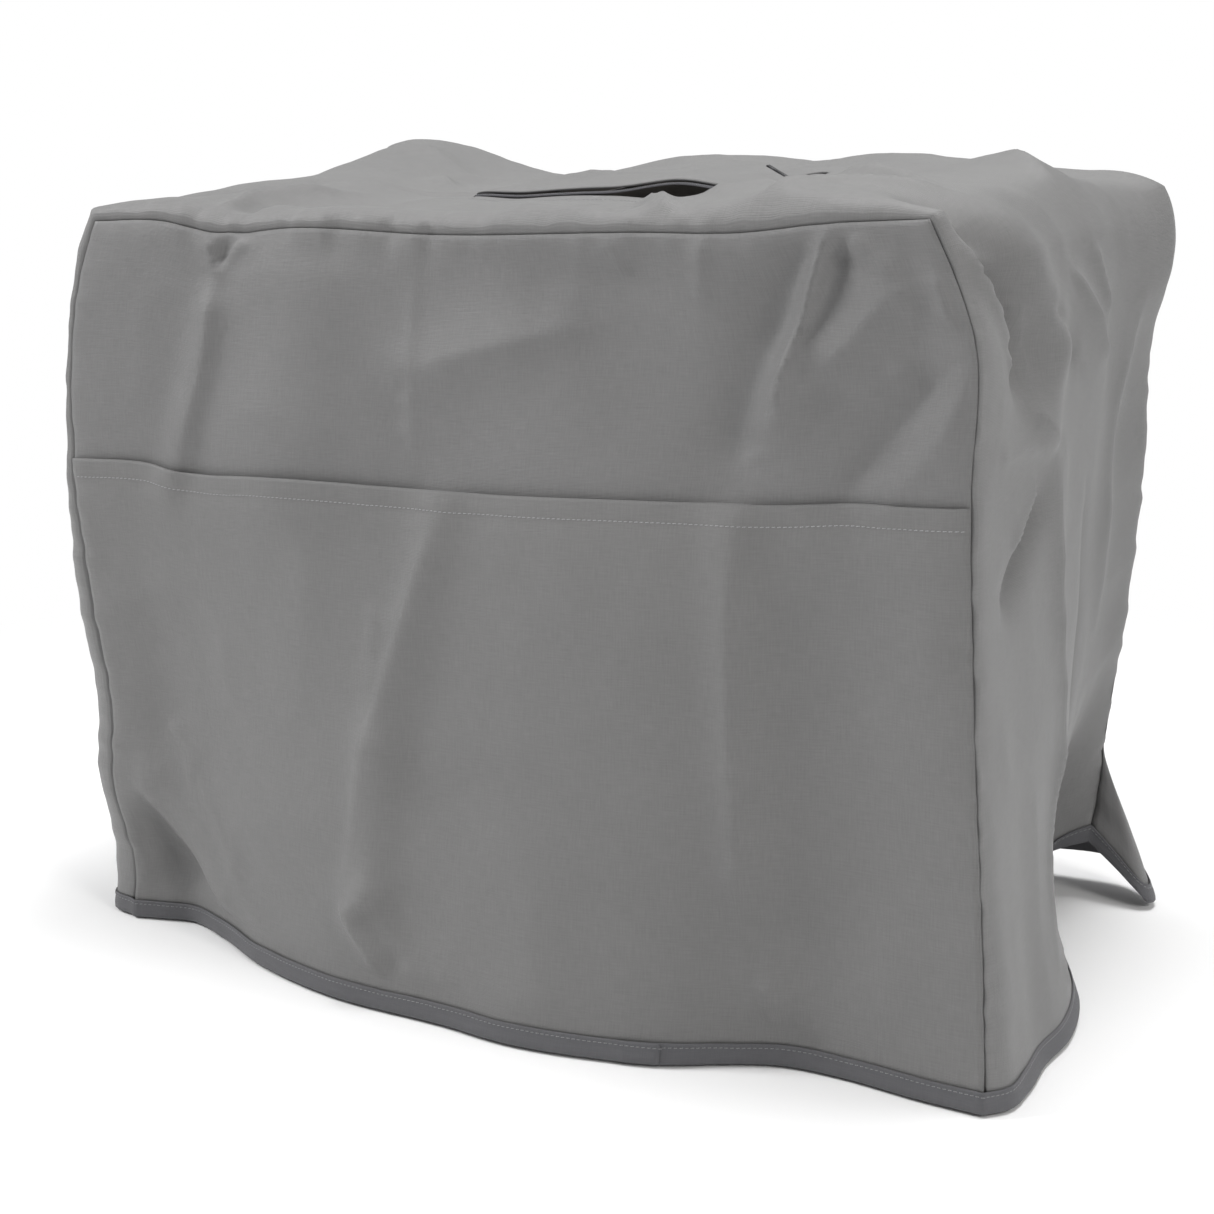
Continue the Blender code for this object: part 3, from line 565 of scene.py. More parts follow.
TOP_FRONT_SEAM = [
    (0.00, *FRONT_LEFT_TOP),
    (0.10, 0.050, 0.000, 0.447),
    (0.17, 0.088, 0.002, 0.441),
    (0.28, 0.150, -0.002, 0.445),
    (0.46, 0.249, 0.001, 0.443),
    (0.70, 0.378, -0.002, 0.447),
    (0.80, 0.435, 0.002, 0.448),
    (0.89, 0.484, 0.000, 0.4535),
    (1.00, *FRONT_RIGHT_TOP),
]
LEFT_BACK_SEAM = [
    (0.00, *BACK_LEFT_FOOT),
    (0.30, -0.020, 0.352, 0.140),
    (0.60, -0.027, 0.356, 0.285),
    (0.85, -0.025, 0.354, 0.408),
    (1.00, *BACK_LEFT_TOP),
]
RIGHT_BACK_SEAM = [
    (0.00, *BACK_RIGHT_FOOT),
    (0.15, 0.531, 0.356, 0.100),
    (0.25, 0.536, 0.356, 0.143),
    (0.36, 0.541, 0.356, 0.190),
    (0.55, 0.547, 0.355, 0.270),
    (0.79, 0.549, 0.354, 0.372),
    (0.87, 0.550, 0.354, 0.405),
    (0.94, 0.553, 0.354, 0.435),
    (1.00, *BACK_RIGHT_TOP),
]
TOP_BACK_SEAM = [
    (0.00, *BACK_LEFT_TOP),
    (0.12, 0.048, 0.352, 0.476),
    (0.27, 0.133, 0.355, 0.457),
    (0.42, 0.220, 0.357, 0.472),
    (0.60, 0.330, 0.354, 0.468),
    (0.75, 0.410, 0.352, 0.470),
    (0.88, 0.486, 0.352, 0.464),
    (1.00, *BACK_RIGHT_TOP),
]
print("six seams")

# %% [markdown]
# ## Reading a table
# A seam in cloth never turns a corner between two measured places, so each table is read on a
# smooth curve through its rows. The same curve, read at many shares, gives the points of a mesh edge.

# %% Curve helpers
def ease(rows, share):
    """The columns of a table at shares of the way, on a smooth curve through its rows."""
    table = np.array(rows, float)
    keys, values = table[:, 0], table[:, 1:]
    slopes = np.gradient(values, keys, axis=0)
    share = np.atleast_1d(share)
    i = np.clip(np.searchsorted(keys, share, side="right") - 1, 0, len(keys) - 2)
    step = (keys[i + 1] - keys[i])[:, None]
    q = (share - keys[i])[:, None] / step
    begin = values[i] * (2 * q**3 - 3 * q**2 + 1) + slopes[i] * step * (q**3 - 2 * q**2 + q)
    finish = values[i + 1] * (3 * q**2 - 2 * q**3) + slopes[i + 1] * step * (q**3 - q**2)
    return begin + finish


def blend(first, last, share):
    """Points on the straight lines between two rows of points."""
    return first + (last - first) * share


def soft_step(value):
    """0 below 0, 1 above 1 and smooth between."""
    q = np.clip(value, 0.0, 1.0)
    return q * q * (3 - 2 * q)


def bell(away, reach, power=2):
    """1 where the distance is 0, falling to almost nothing two reaches away."""
    return np.exp(-((away / reach) ** power))


def side_shares():
    """Shares of the height for the rows of a side, and the row of the pocket's top edge."""
    first = FIRST_ROW / SIDE_HEIGHT
    shares = np.concatenate([[EDGE_RISE / SIDE_HEIGHT], np.linspace(first, 1.0, SIDE_STEPS)])
    nearest = int(np.argmin(abs(shares - POCKET_SHARE)))
    shares[nearest] = POCKET_SHARE
    return shares, nearest


SIDE_SHARES, POCKET_ROW = side_shares()
TOP_SHARES = np.linspace(0.0, 1.0, TOP_STEPS + 1)
print("rows up a side:", len(SIDE_SHARES), "of which under the pocket's edge:", POCKET_ROW)

# %% [markdown]
# ## Folds and creases
# Three sizes of relief make cloth look like cloth. A main fold is a soft swell along a line. A
# crease is narrower and has a sharp crest, because coated cloth keeps the line along which it was
# folded in its bag. Between them the sheet is a little uneven everywhere. Simulated cloth would give
# creases, but not these ones in these places, so they are laid along lines read from the
# picture, and only the smallest unevenness is left to a seeded random field.

# %% Relief helpers
CREASE_DEPTH = 1.5        # how strongly all the creases are pressed
CREASE_STARTS = 0.18      # share of a crease over which it deepens
CREASE_ENDS = 0.30        # share over which it dies out
FIELD = 96                # places along a side of a random field, before it repeats
LUMP_HEIGHT, LINE_HEIGHT, FINE_HEIGHT = 0.0014, 0.0010, 0.00025
PUCKER_HEIGHT = 0.0009
PUCKER_REACH = 0.011


def to_run(across, up, first, last):
    """Where along a straight run each place lies, 0 to 1, and how far it is from the run."""
    step = np.subtract(last, first)
    q = ((across - first[0]) * step[0] + (up - first[1]) * step[1]) / (step @ step)
    q = np.clip(q, 0.0, 1.0)
    return q, np.hypot(across - first[0] - q * step[0], up - first[1] - q * step[1])


def fold_height(folds, across, up):
    """The summed height of main folds: start, end, half width and height of each."""
    total = np.zeros_like(across)
    for x0, z0, x1, z1, half_width, height in folds:
        total += height * bell(to_run(across, up, (x0, z0), (x1, z1))[1], half_width)
    return total


def crease_height(creases, across, up):
    """The summed height of creases, each a line of places with a width, a height and a sharpness."""
    total = np.zeros_like(across)
    for line, width, height, power in creases:
        lengths = [math.dist(first, last) for first, last in zip(line, line[1:])]
        nearest = np.full(across.shape, np.inf)
        place = np.zeros(across.shape)
        for k, length in enumerate(lengths):
            q, away = to_run(across, up, line[k], line[k + 1])
            closer = away < nearest
            nearest = np.where(closer, away, nearest)
            place = np.where(closer, (sum(lengths[:k]) + q * length) / sum(lengths), place)
        taper = 0.25 + 0.75 * soft_step(place / CREASE_STARTS) * soft_step((1 - place) / CREASE_ENDS)
        total += height * taper * bell(nearest, width * (0.6 + 0.4 * taper), power)
    return total * CREASE_DEPTH


def uneven(across, up, size, seed):
    """A smooth random field between about -1 and 1, whose lumps are of the given size in metres."""
    numbers = np.random.default_rng(seed).uniform(-1.0, 1.0, (FIELD, FIELD))
    a, b = across / size + 40.0, up / size + 40.0
    i, j = np.floor(a).astype(int), np.floor(b).astype(int)
    p, q = soft_step(a - i), soft_step(b - j)
    i, j, beside, beyond = i % FIELD, j % FIELD, (i + 1) % FIELD, (j + 1) % FIELD
    low = blend(numbers[i, j], numbers[beside, j], p)
    high = blend(numbers[i, beyond], numbers[beside, beyond], p)
    return blend(low, high, q)


def crumple(across, up, seed):
    """The unevenness of handled cloth: broad lumps with faint lines where they meet."""
    turned = across * 0.8 + up * 0.6, up * 0.8 - across * 0.6
    broad = uneven(*turned, 0.085, seed)
    lines = 1 - np.abs(uneven(across, up, 0.062, seed + 1)) * 2
    fine = uneven(across, up, 0.021, seed + 2)
    return LUMP_HEIGHT * broad + LINE_HEIGHT * lines + FINE_HEIGHT * fine


def puckers(along, away, seed, strength=1.0):
    """Small gathers beside a sewn seam, which fade out within a couple of centimetres."""
    nowhere = np.zeros_like(along)
    wave = uneven(along, nowhere, 0.009, seed) + 0.6 * uneven(along, nowhere, 0.021, seed + 1)
    return PUCKER_HEIGHT * strength * wave * bell(away, PUCKER_REACH, 1.3)


print("relief helpers ready")

# %% [markdown]
# ## The front's folds
# The front hangs almost flat. What marks it are the V of short folds below the left of the top
# seam, a pressed line down its middle left, the fan of strong folds under the zip's right end and
# the hollow that runs in from the right seam. The pocket carries two long upright folds and the
# buckles above the hem at the left, where the cloth swings out.

# %% Front folds and creases
FRONT_FOLDS = [
    (0.093, 0.414, 0.050, 0.288, 0.012, 0.004),
    (0.104, 0.440, 0.094, 0.416, 0.014, -0.005),
    (0.160, 0.400, 0.130, 0.310, 0.045, 0.006),
    (0.233, 0.367, 0.292, 0.386, 0.022, 0.004),
    (0.340, 0.430, 0.420, 0.330, 0.040, -0.006),
    (0.484, 0.448, 0.456, 0.350, 0.014, 0.007),
    (0.466, 0.440, 0.436, 0.345, 0.020, -0.007),
    (0.558, 0.400, 0.500, 0.312, 0.030, -0.006),
    (0.258, 0.290, 0.224, 0.150, 0.016, 0.004),
    (0.224, 0.150, 0.218, 0.060, 0.016, 0.005),
    (0.222, 0.062, 0.250, 0.012, 0.014, 0.007),
    (0.434, 0.290, 0.448, 0.110, 0.016, 0.005),
    (0.462, 0.055, 0.478, 0.020, 0.014, 0.005),
    (0.030, 0.095, 0.100, 0.020, 0.020, 0.008),
    (0.012, 0.055, 0.050, 0.010, 0.022, -0.007),
    (0.500, 0.250, 0.520, 0.120, 0.040, -0.005),
]
FRONT_CREASES = [
    ([(0.119, 0.443), (0.104, 0.430), (0.090, 0.415)], 0.006, 0.0030, 1.2),
    ([(0.085, 0.441), (0.087, 0.428), (0.089, 0.415)], 0.005, 0.0024, 1.2),
    ([(0.102, 0.441), (0.092, 0.420)], 0.007, -0.0030, 1.5),
    ([(0.090, 0.415), (0.086, 0.385), (0.078, 0.350), (0.056, 0.295)], 0.008, 0.0022, 1.1),
    ([(0.233, 0.421), (0.234, 0.360), (0.233, 0.310)], 0.0050, 0.0012, 1.0),
    ([(0.236, 0.366), (0.255, 0.375), (0.294, 0.384), (0.359, 0.401)], 0.012, 0.0024, 1.3),
    ([(0.236, 0.366), (0.220, 0.350), (0.228, 0.328)], 0.010, -0.0014, 1.3),
    ([(0.356, 0.444), (0.369, 0.425)], 0.006, 0.0020, 1.2),
    ([(0.413, 0.450), (0.414, 0.405)], 0.0040, 0.0012, 1.0),
    ([(0.486, 0.452), (0.474, 0.407), (0.462, 0.373), (0.456, 0.352)], 0.006, 0.0062, 1.10),
    ([(0.495, 0.447), (0.484, 0.420), (0.468, 0.385)], 0.009, -0.0062, 1.3),
    ([(0.474, 0.447), (0.462, 0.410), (0.450, 0.380)], 0.012, -0.0030, 1.5),
    ([(0.496, 0.449), (0.516, 0.435), (0.527, 0.426)], 0.006, 0.0030, 1.2),
    ([(0.536, 0.426), (0.518, 0.417), (0.497, 0.392), (0.475, 0.374)], 0.010, 0.0032, 1.3),
    ([(0.545, 0.433), (0.552, 0.412), (0.562, 0.403)], 0.006, 0.0032, 1.2),
    ([(0.554, 0.386), (0.527, 0.356), (0.504, 0.328), (0.495, 0.315)], 0.012, -0.0035, 1.4),
    ([(0.566, 0.375), (0.545, 0.345), (0.520, 0.310)], 0.014, 0.0025, 1.4),
    ([(0.519, 0.380), (0.535, 0.384)], 0.005, 0.0015, 1.2),
    ([(0.437, 0.331), (0.458, 0.336)], 0.006, 0.0012, 1.2),
]
POCKET_CREASES = [
    ([(0.255, 0.285), (0.237, 0.225), (0.220, 0.168), (0.213, 0.142), (0.205, 0.072)], 0.008, 0.0024, 1.15),
    ([(0.214, 0.235), (0.215, 0.177)], 0.006, 0.0012, 1.1),
    ([(0.439, 0.299), (0.436, 0.235), (0.440, 0.171), (0.447, 0.061)], 0.007, 0.0024, 1.1),
    ([(0.203, 0.062), (0.215, 0.045), (0.237, 0.019)], 0.007, 0.0040, 1.15),
    ([(0.218, 0.062), (0.249, 0.020)], 0.010, -0.0035, 1.4),
    ([(0.461, 0.050), (0.465, 0.025)], 0.006, 0.0025, 1.2),
    ([(0.017, 0.091), (0.063, 0.040), (0.109, 0.018)], 0.009, 0.0030, 1.2),
    ([(0.060, 0.111), (0.108, 0.040), (0.150, 0.020)], 0.012, 0.0020, 1.3),
    ([(0.017, 0.084), (0.028, 0.053), (0.072, 0.029)], 0.012, -0.0030, 1.4),
    ([(0.039, 0.139), (0.056, 0.116), (0.058, 0.091)], 0.008, 0.0018, 1.2),
]
print("front:", len(FRONT_FOLDS), "folds and", len(FRONT_CREASES) + len(POCKET_CREASES), "creases")

# %% [markdown]
# ## One panel
# A panel is stretched between its two side seams, its top seam and its hem, like a sheet pinned to
# four curves. The hem's waves fade out with height. Then the relief pushes it outward, held back to
# nothing at the seams and at the bound edge, where the sewing keeps the cloth in place.

# %% Panel and mesh helpers
FADE_SIDE = 0.035
FADE_ENDS = 0.030


def panel_points(left, right, top, hem, hem_power):
    """A panel stretched between its seams and its hem (rows, columns, 3)."""
    up = SIDE_SHARES[:, None, None]
    share = TOP_SHARES[:, None]
    grid = blend(left[:, None, :], right[:, None, :], share[None])
    grid = grid + up * (top - blend(top[:1], top[-1:], share))[None]
    return grid + (1 - up) ** hem_power * (hem - blend(hem[:1], hem[-1:], share))[None]


def panel_hold(side=FADE_SIDE, ends=FADE_ENDS):
    """How freely each point of a panel may move: 0 at its seams and bound edge, 1 inside."""
    up, across = SIDE_SHARES[:, None], TOP_SHARES[None, :]
    edge = np.minimum(across, 1 - across) * PANEL_WIDTH
    below_top = (1 - up) * SIDE_HEIGHT
    above_hem = up * SIDE_HEIGHT - FIRST_ROW
    return soft_step(edge / side) * soft_step(below_top / ends) * soft_step(above_hem / ends)


def way_out(grid):
    """The outward direction at every point of a grid of points."""
    normal = np.cross(np.gradient(grid, axis=1), np.gradient(grid, axis=0))
    return normal / np.linalg.norm(normal, axis=2)[..., None]


def lay_map(mesh, flat):
    """Lays the UV map in metres, from where each vertex lies on the flat cloth."""
    corners = np.empty(len(mesh.loops), np.int32)
    mesh.loops.foreach_get("vertex_index", corners)
    for spare in list(mesh.uv_layers):
        mesh.uv_layers.remove(spare)
    layer = mesh.uv_layers.new(name="cloth")
    layer.data.foreach_set("uv", flat.reshape(-1, 2)[corners].astype(np.float32).ravel())


def sheet_mesh(name, grid, flat, material, open_faces=None):
    """An object from a grid of points, with its map and, where asked, faces left out."""
    rows, columns = grid.shape[:2]
    mesh = bpy.data.meshes.new(name)
    shape = bmesh.new()
    bmesh.ops.create_grid(shape, x_segments=columns - 1, y_segments=rows - 1, size=0.5)
    shape.to_mesh(mesh)
    shape.free()
    mesh.vertices.foreach_set("co", (grid - ORIGIN).astype(np.float32).ravel())
    lay_map(mesh, flat)
    if open_faces is not None:
        shape = bmesh.new()
        shape.from_mesh(mesh)
        doomed = [f for f in shape.faces if open_faces[divmod(min(v.index for v in f.verts), columns)]]
        bmesh.ops.delete(shape, geom=doomed, context="FACES")
        shape.to_mesh(mesh)
        shape.free()
    mesh.shade_smooth()
    mesh.materials.append(material)
    mesh.update()
    return new_object(name, mesh)


def thicken(thing, thickness):
    """Gives a sheet its thickness, inward from its outer face."""
    solid = thing.modifiers.new("thickness", "SOLIDIFY")
    solid.thickness = thickness
    solid.offset = -1.0


def claim(thing, nodes):
    """The piece rides on the cover and stands for its solids, which it hides."""
    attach(thing, "root")
    if nodes:
        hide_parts(*nodes)


def panel_flat():
    """Where each point of a panel lies on the flat cloth, in metres."""
    across, up = np.meshgrid(TOP_SHARES * PANEL_WIDTH, SIDE_SHARES * SIDE_HEIGHT)
    return np.stack([across, up], axis=2)


PANEL_FLAT = panel_flat()
print("a flat panel:", PANEL_FLAT.shape[:2], "points")

# %% Front panel
FRONT_WAVE = 1.6          # how fast the hem's waves fade with height
GATHER_X = 0.19           # the seam was sewn with more gathers round here
up_panel = SIDE_SHARES[:, None] * SIDE_HEIGHT + np.zeros(len(TOP_SHARES))
to_top = SIDE_HEIGHT - up_panel
to_side = np.minimum(TOP_SHARES, 1 - TOP_SHARES) * PANEL_WIDTH + np.zeros_like(up_panel)
above_hem = soft_step((up_panel - FIRST_ROW) / 0.012)

left = ease(LEFT_FRONT_SEAM, SIDE_SHARES)
right = ease(RIGHT_FRONT_SEAM, SIDE_SHARES)
front = panel_points(left, right, ease(TOP_FRONT_SEAM, TOP_SHARES), ease(FRONT_HEM, TOP_SHARES), FRONT_WAVE)
fx, fz = front[..., 0], front[..., 2]
main = fold_height(FRONT_FOLDS, fx, fz) * panel_hold()
sharp = crease_height(FRONT_CREASES + POCKET_CREASES, fx, fz) * panel_hold(0.012, 0.010)
small = crumple(fx, fz, 11) * panel_hold(0.020, 0.014)
seams = puckers(fz, to_side, 21) + puckers(fx, to_top, 23, 1.0 + 1.4 * bell(fx - GATHER_X, 0.07))
front[..., 1] -= main + sharp + small + seams * above_hem
front_out = way_out(front)
deepest = round(float(abs(main + sharp).max()) * 1000, 1)
print("front panel:", front.shape[:2], "points, relief to", deepest, "mm")

# %% [markdown]
# The seam itself sits a little below the faces that it joins: the cloth turns in to it over the
# last few millimetres. That turn gives the thin dark line that shows the cut of the cover.

# %% Turn the front in at its seams
TURN_IN = 0.0011
TURN_REACH = 0.0040
side_turn = bell(to_side, TURN_REACH)
seam_turn = np.clip(side_turn + bell(to_top, TURN_REACH), 0.0, 1.0) * above_hem


def turned_in(grid, outward, turn):
    """A sheet whose edges turn in to their seams."""
    return grid - outward * (TURN_IN * turn)[..., None]


front_sewn = turned_in(front, front_out, seam_turn)
front_panel = sheet_mesh("front_cloth", front_sewn, PANEL_FLAT, finish["cloth_front"])
thicken(front_panel, CLOTH)
claim(front_panel, ["front_panel"])
print("made", front_panel.name)

# %% [markdown]
# ## The pocket
# The pocket is a second sheet over the lower two thirds of the front. Its sides and its bottom are
# caught in the same seams, so it follows every fold of the panel behind it, and only its top edge
# stands off a little. That edge is turned over and stitched down, which makes a flatter, firmer
# band along it.

# %% Front pocket
POCKET_SLACK = 0.0022     # how far the top edge stands off the front
HEM_BAND = 0.0130         # width of the turned edge
BAND_THICK = 0.0005       # what the turned edge adds
STITCH_SUNK = 0.0005      # how deep its stitching pulls in
EDGE_WAVE = 0.0007
OWN_SWELL = 0.0006        # the pocket's own unevenness
rows = POCKET_ROW + 1
bulge = np.sin(math.pi * TOP_SHARES)[None, :]
slack = POCKET_SLACK * np.sqrt(bulge) * soft_step((np.linspace(0.0, 1.0, rows)[:, None] - 0.14) / 0.72)
pocket = front[:rows] + front_out[:rows] * (GAP + CLOTH + slack)[..., None]
px, pz = pocket[..., 0], pocket[..., 2]
below_edge = SIDE_SHARES[POCKET_ROW] * SIDE_HEIGHT - up_panel[:rows]
own = OWN_SWELL * (1 + uneven(px, pz, 0.034, 41)) * soft_step(below_edge / 0.02)
own = own * soft_step(up_panel[:rows] / 0.03 - 0.6) * soft_step(to_side[:rows] / 0.02)
band = BAND_THICK * soft_step((HEM_BAND - below_edge) / 0.0035)
sunk = -STITCH_SUNK * bell(below_edge - HEM_BAND, 0.0022)
edge_wave = EDGE_WAVE * uneven(px, pz * 0, 0.028, 43) * bell(below_edge, 0.018)
pocket[..., 1] -= own + band + sunk + edge_wave * bulge
pocket_sewn = turned_in(pocket, front_out[:rows], (side_turn * above_hem)[:rows])
front_pocket = sheet_mesh("pocket_cloth", pocket_sewn, PANEL_FLAT[:rows], finish["cloth_pocket"])
thicken(front_pocket, CLOTH)
claim(front_pocket, ["front_pocket"])
print("made", front_pocket.name, "with its edge", round(float(pocket[-1, :, 2].mean()), 3), "m up")

# %% [markdown]
# ## The back
# The back isn't seen in the picture apart from its loose flap at the right, which swings out past
# the side seam. It gets the same treatment as the front, with a few broad folds of its own.

# %% Back panel
BACK_WAVE = 1.4
BACK_FOLDS = [
    (0.110, 0.440, 0.160, 0.250, 0.030, 0.006),
    (0.300, 0.300, 0.270, 0.060, 0.030, 0.007),
    (0.420, 0.430, 0.380, 0.260, 0.026, -0.006),
    (0.060, 0.240, 0.090, 0.050, 0.030, -0.006),
]
BACK_CREASES = [
    ([(0.120, 0.450), (0.150, 0.360), (0.145, 0.270)], 0.008, 0.0032, 1.15),
    ([(0.235, 0.460), (0.236, 0.300), (0.235, 0.120)], 0.005, 0.0012, 1.0),
    ([(0.300, 0.330), (0.282, 0.200), (0.290, 0.070)], 0.009, 0.0030, 1.2),
    ([(0.480, 0.440), (0.440, 0.390), (0.425, 0.320)], 0.008, 0.0034, 1.2),
    ([(0.410, 0.440), (0.395, 0.360)], 0.010, -0.0030, 1.4),
    ([(0.040, 0.150), (0.085, 0.090), (0.120, 0.030)], 0.009, 0.0030, 1.2),
    ([(0.020, 0.420), (0.060, 0.380), (0.080, 0.330)], 0.009, 0.0028, 1.2),
    ([(0.400, 0.140), (0.440, 0.090), (0.450, 0.040)], 0.009, 0.0030, 1.2),
]
left = ease(LEFT_BACK_SEAM, SIDE_SHARES)
right = ease(RIGHT_BACK_SEAM, SIDE_SHARES)
back = panel_points(left, right, ease(TOP_BACK_SEAM, TOP_SHARES), ease(BACK_HEM, TOP_SHARES), BACK_WAVE)
bx, bz = back[..., 0], back[..., 2]
push = fold_height(BACK_FOLDS, bx, bz) * panel_hold()
push += crease_height(BACK_CREASES, bx, bz) * panel_hold(0.014, 0.012)
push += crumple(bx, bz, 51) * panel_hold(0.020, 0.014)
push += (puckers(bz, to_side, 61) + puckers(bx, to_top, 63)) * above_hem
back[..., 1] += push
low = bz[:1]
fade = np.clip(1 - (bz - low) / (FLAP_HEIGHT - low), 0.0, 1.0) ** FLAP_FADE
back = back + fade[..., None] * ease(FLAP, TOP_SHARES)[None]
back = back[:, ::-1]
back_out = way_out(back)
back_sewn = turned_in(back, back_out, seam_turn)
back_panel = sheet_mesh("back_cloth", back_sewn, PANEL_FLAT, finish["cloth_back"])
thicken(back_panel, CLOTH)
claim(back_panel, ["back_panel"])
print("made", back_panel.name)

# %% [markdown]
# ## The strip
# One long strip goes up the left side, over the top and down the right side. It swells out past its
# seams and rolls over the edges, so that its columns turn from facing left, through up, to facing
# right. At the front right corner it caves in between two creases, and at the back right it stands
# up in a loose pouch. Its folds are lines in space for the broad ones, and lines on the side or on
# the top for the creases.

# %% Strip folds
STRIP_FOLDS = [
    (0.548, 0.006, 0.446, 0.562, 0.071, 0.378, 0.010, 0.005),
    (0.536, 0.042, 0.460, 0.564, 0.084, 0.385, 0.024, -0.022),
    (0.556, 0.096, 0.442, 0.566, 0.130, 0.392, 0.022, 0.007),
    (0.566, 0.130, 0.392, 0.566, 0.120, 0.350, 0.018, 0.005),
    (0.564, 0.112, 0.301, 0.566, 0.056, 0.262, 0.014, -0.007),
    (0.562, 0.140, 0.313, 0.566, 0.158, 0.146, 0.014, 0.004),
    (0.566, 0.158, 0.146, 0.580, 0.118, 0.050, 0.014, 0.005),
    (0.552, 0.325, 0.440, 0.556, 0.330, 0.425, 0.045, 0.012),
    (0.552, 0.290, 0.330, 0.550, 0.250, 0.180, 0.050, -0.008),
    (-0.020, 0.060, 0.380, -0.020, 0.100, 0.200, 0.030, 0.006),
    (-0.015, 0.200, 0.420, -0.020, 0.160, 0.260, 0.040, -0.008),
    (-0.020, 0.290, 0.260, -0.020, 0.300, 0.060, 0.030, 0.007),
    (0.350, 0.045, 0.460, 0.430, 0.060, 0.462, 0.030, 0.0025),
    (0.090, 0.040, 0.458, 0.150, 0.090, 0.460, 0.035, -0.006),
    (0.120, 0.270, 0.475, 0.240, 0.300, 0.480, 0.060, -0.006),
    (0.400, 0.290, 0.480, 0.520, 0.220, 0.475, 0.040, 0.006),
    (0.200, 0.160, 0.462, 0.360, 0.160, 0.464, 0.028, -0.006),
    (-0.005, 0.080, 0.460, 0.010, 0.200, 0.468, 0.055, -0.003),
]
RIGHT_CREASES = [
    ([(0.004, 0.447), (0.035, 0.415), (0.071, 0.380)], 0.0055, 0.0052, 1.05),
    ([(0.016, 0.452), (0.046, 0.424), (0.080, 0.392)], 0.010, -0.0085, 1.25),
    ([(0.030, 0.462), (0.058, 0.442), (0.080, 0.426)], 0.008, 0.0034, 1.2),
    ([(0.061, 0.391), (0.083, 0.412)], 0.007, -0.0040, 1.2),
    ([(0.087, 0.418), (0.100, 0.365)], 0.006, 0.0042, 1.1),
    ([(0.059, 0.379), (0.069, 0.389)], 0.005, 0.0020, 1.2),
    ([(0.160, 0.428), (0.197, 0.399), (0.241, 0.359)], 0.008, 0.0042, 1.15),
    ([(0.206, 0.438), (0.231, 0.391)], 0.008, 0.0030, 1.2),
    ([(0.116, 0.410), (0.177, 0.371)], 0.009, -0.0035, 1.3),
    ([(0.258, 0.448), (0.175, 0.443), (0.068, 0.434)], 0.010, 0.0024, 1.3),
    ([(0.118, 0.302), (0.086, 0.281), (0.054, 0.258)], 0.0050, -0.0028, 1.2),
    ([(0.112, 0.312), (0.080, 0.294), (0.058, 0.280)], 0.006, 0.0030, 1.2),
    ([(0.027, 0.337), (0.112, 0.333)], 0.006, 0.0018, 1.2),
    ([(0.092, 0.357), (0.133, 0.328)], 0.007, 0.0025, 1.2),
    ([(0.139, 0.311), (0.158, 0.157), (0.140, 0.129), (0.124, 0.105), (0.114, 0.038)], 0.0045, 0.0018, 1.0),
    ([(0.151, 0.064), (0.128, 0.020)], 0.008, 0.0020, 1.2),
    ([(0.300, 0.400), (0.275, 0.310), (0.290, 0.200)], 0.012, 0.0032, 1.3),
    ([(0.215, 0.300), (0.235, 0.220), (0.230, 0.130)], 0.010, -0.0028, 1.3),
]
LEFT_CREASES = [
    ([(0.050, 0.430), (0.090, 0.330), (0.070, 0.220)], 0.009, 0.0032, 1.2),
    ([(0.250, 0.450), (0.200, 0.350)], 0.008, 0.0032, 1.2),
    ([(0.140, 0.310), (0.170, 0.140)], 0.010, -0.0028, 1.3),
    ([(0.176, 0.440), (0.176, 0.280), (0.176, 0.100)], 0.005, 0.0012, 1.0),
    ([(0.300, 0.210), (0.280, 0.080)], 0.009, 0.0030, 1.2),
    ([(0.040, 0.140), (0.080, 0.060)], 0.009, 0.0028, 1.2),
]
TOP_CREASES = [
    ([(0.092, 0.004), (0.074, 0.055), (0.100, 0.130)], 0.009, 0.0042, 1.15),
    ([(0.110, 0.006), (0.150, 0.050), (0.205, 0.095)], 0.009, 0.0034, 1.15),
    ([(0.020, 0.030), (0.060, 0.080), (0.070, 0.150)], 0.012, -0.0030, 1.3),
    ([(0.152, 0.177), (0.120, 0.205), (0.088, 0.245)], 0.008, 0.0042, 1.15),
    ([(0.150, 0.168), (0.133, 0.120)], 0.008, 0.0030, 1.2),
    ([(0.150, 0.182), (0.190, 0.215), (0.250, 0.232)], 0.009, 0.0026, 1.2),
    ([(0.412, 0.178), (0.455, 0.150), (0.500, 0.100)], 0.009, 0.0040, 1.15),
    ([(0.392, 0.003), (0.376, 0.028), (0.350, 0.050)], 0.006, 0.0034, 1.15),
    ([(0.350, 0.010), (0.366, 0.030)], 0.009, -0.0026, 1.3),
    ([(0.395, 0.040), (0.430, 0.075)], 0.009, 0.0026, 1.2),
    ([(0.440, 0.008), (0.470, 0.055), (0.525, 0.085)], 0.009, 0.0040, 1.15),
    ([(0.290, 0.012), (0.330, 0.055)], 0.011, 0.0022, 1.2),
    ([(0.250, 0.265), (0.330, 0.300), (0.400, 0.285)], 0.012, 0.0040, 1.2),
    ([(0.020, 0.310), (0.100, 0.262), (0.180, 0.290)], 0.013, 0.0046, 1.2),
    ([(0.460, 0.330), (0.485, 0.245), (0.530, 0.200)], 0.013, 0.0048, 1.2),
    ([(0.520, 0.310), (0.500, 0.275), (0.530, 0.240)], 0.010, -0.0040, 1.3),
]
strip_creases = len(RIGHT_CREASES) + len(LEFT_CREASES) + len(TOP_CREASES)
print("strip:", len(STRIP_FOLDS), "folds and", strip_creases, "creases")

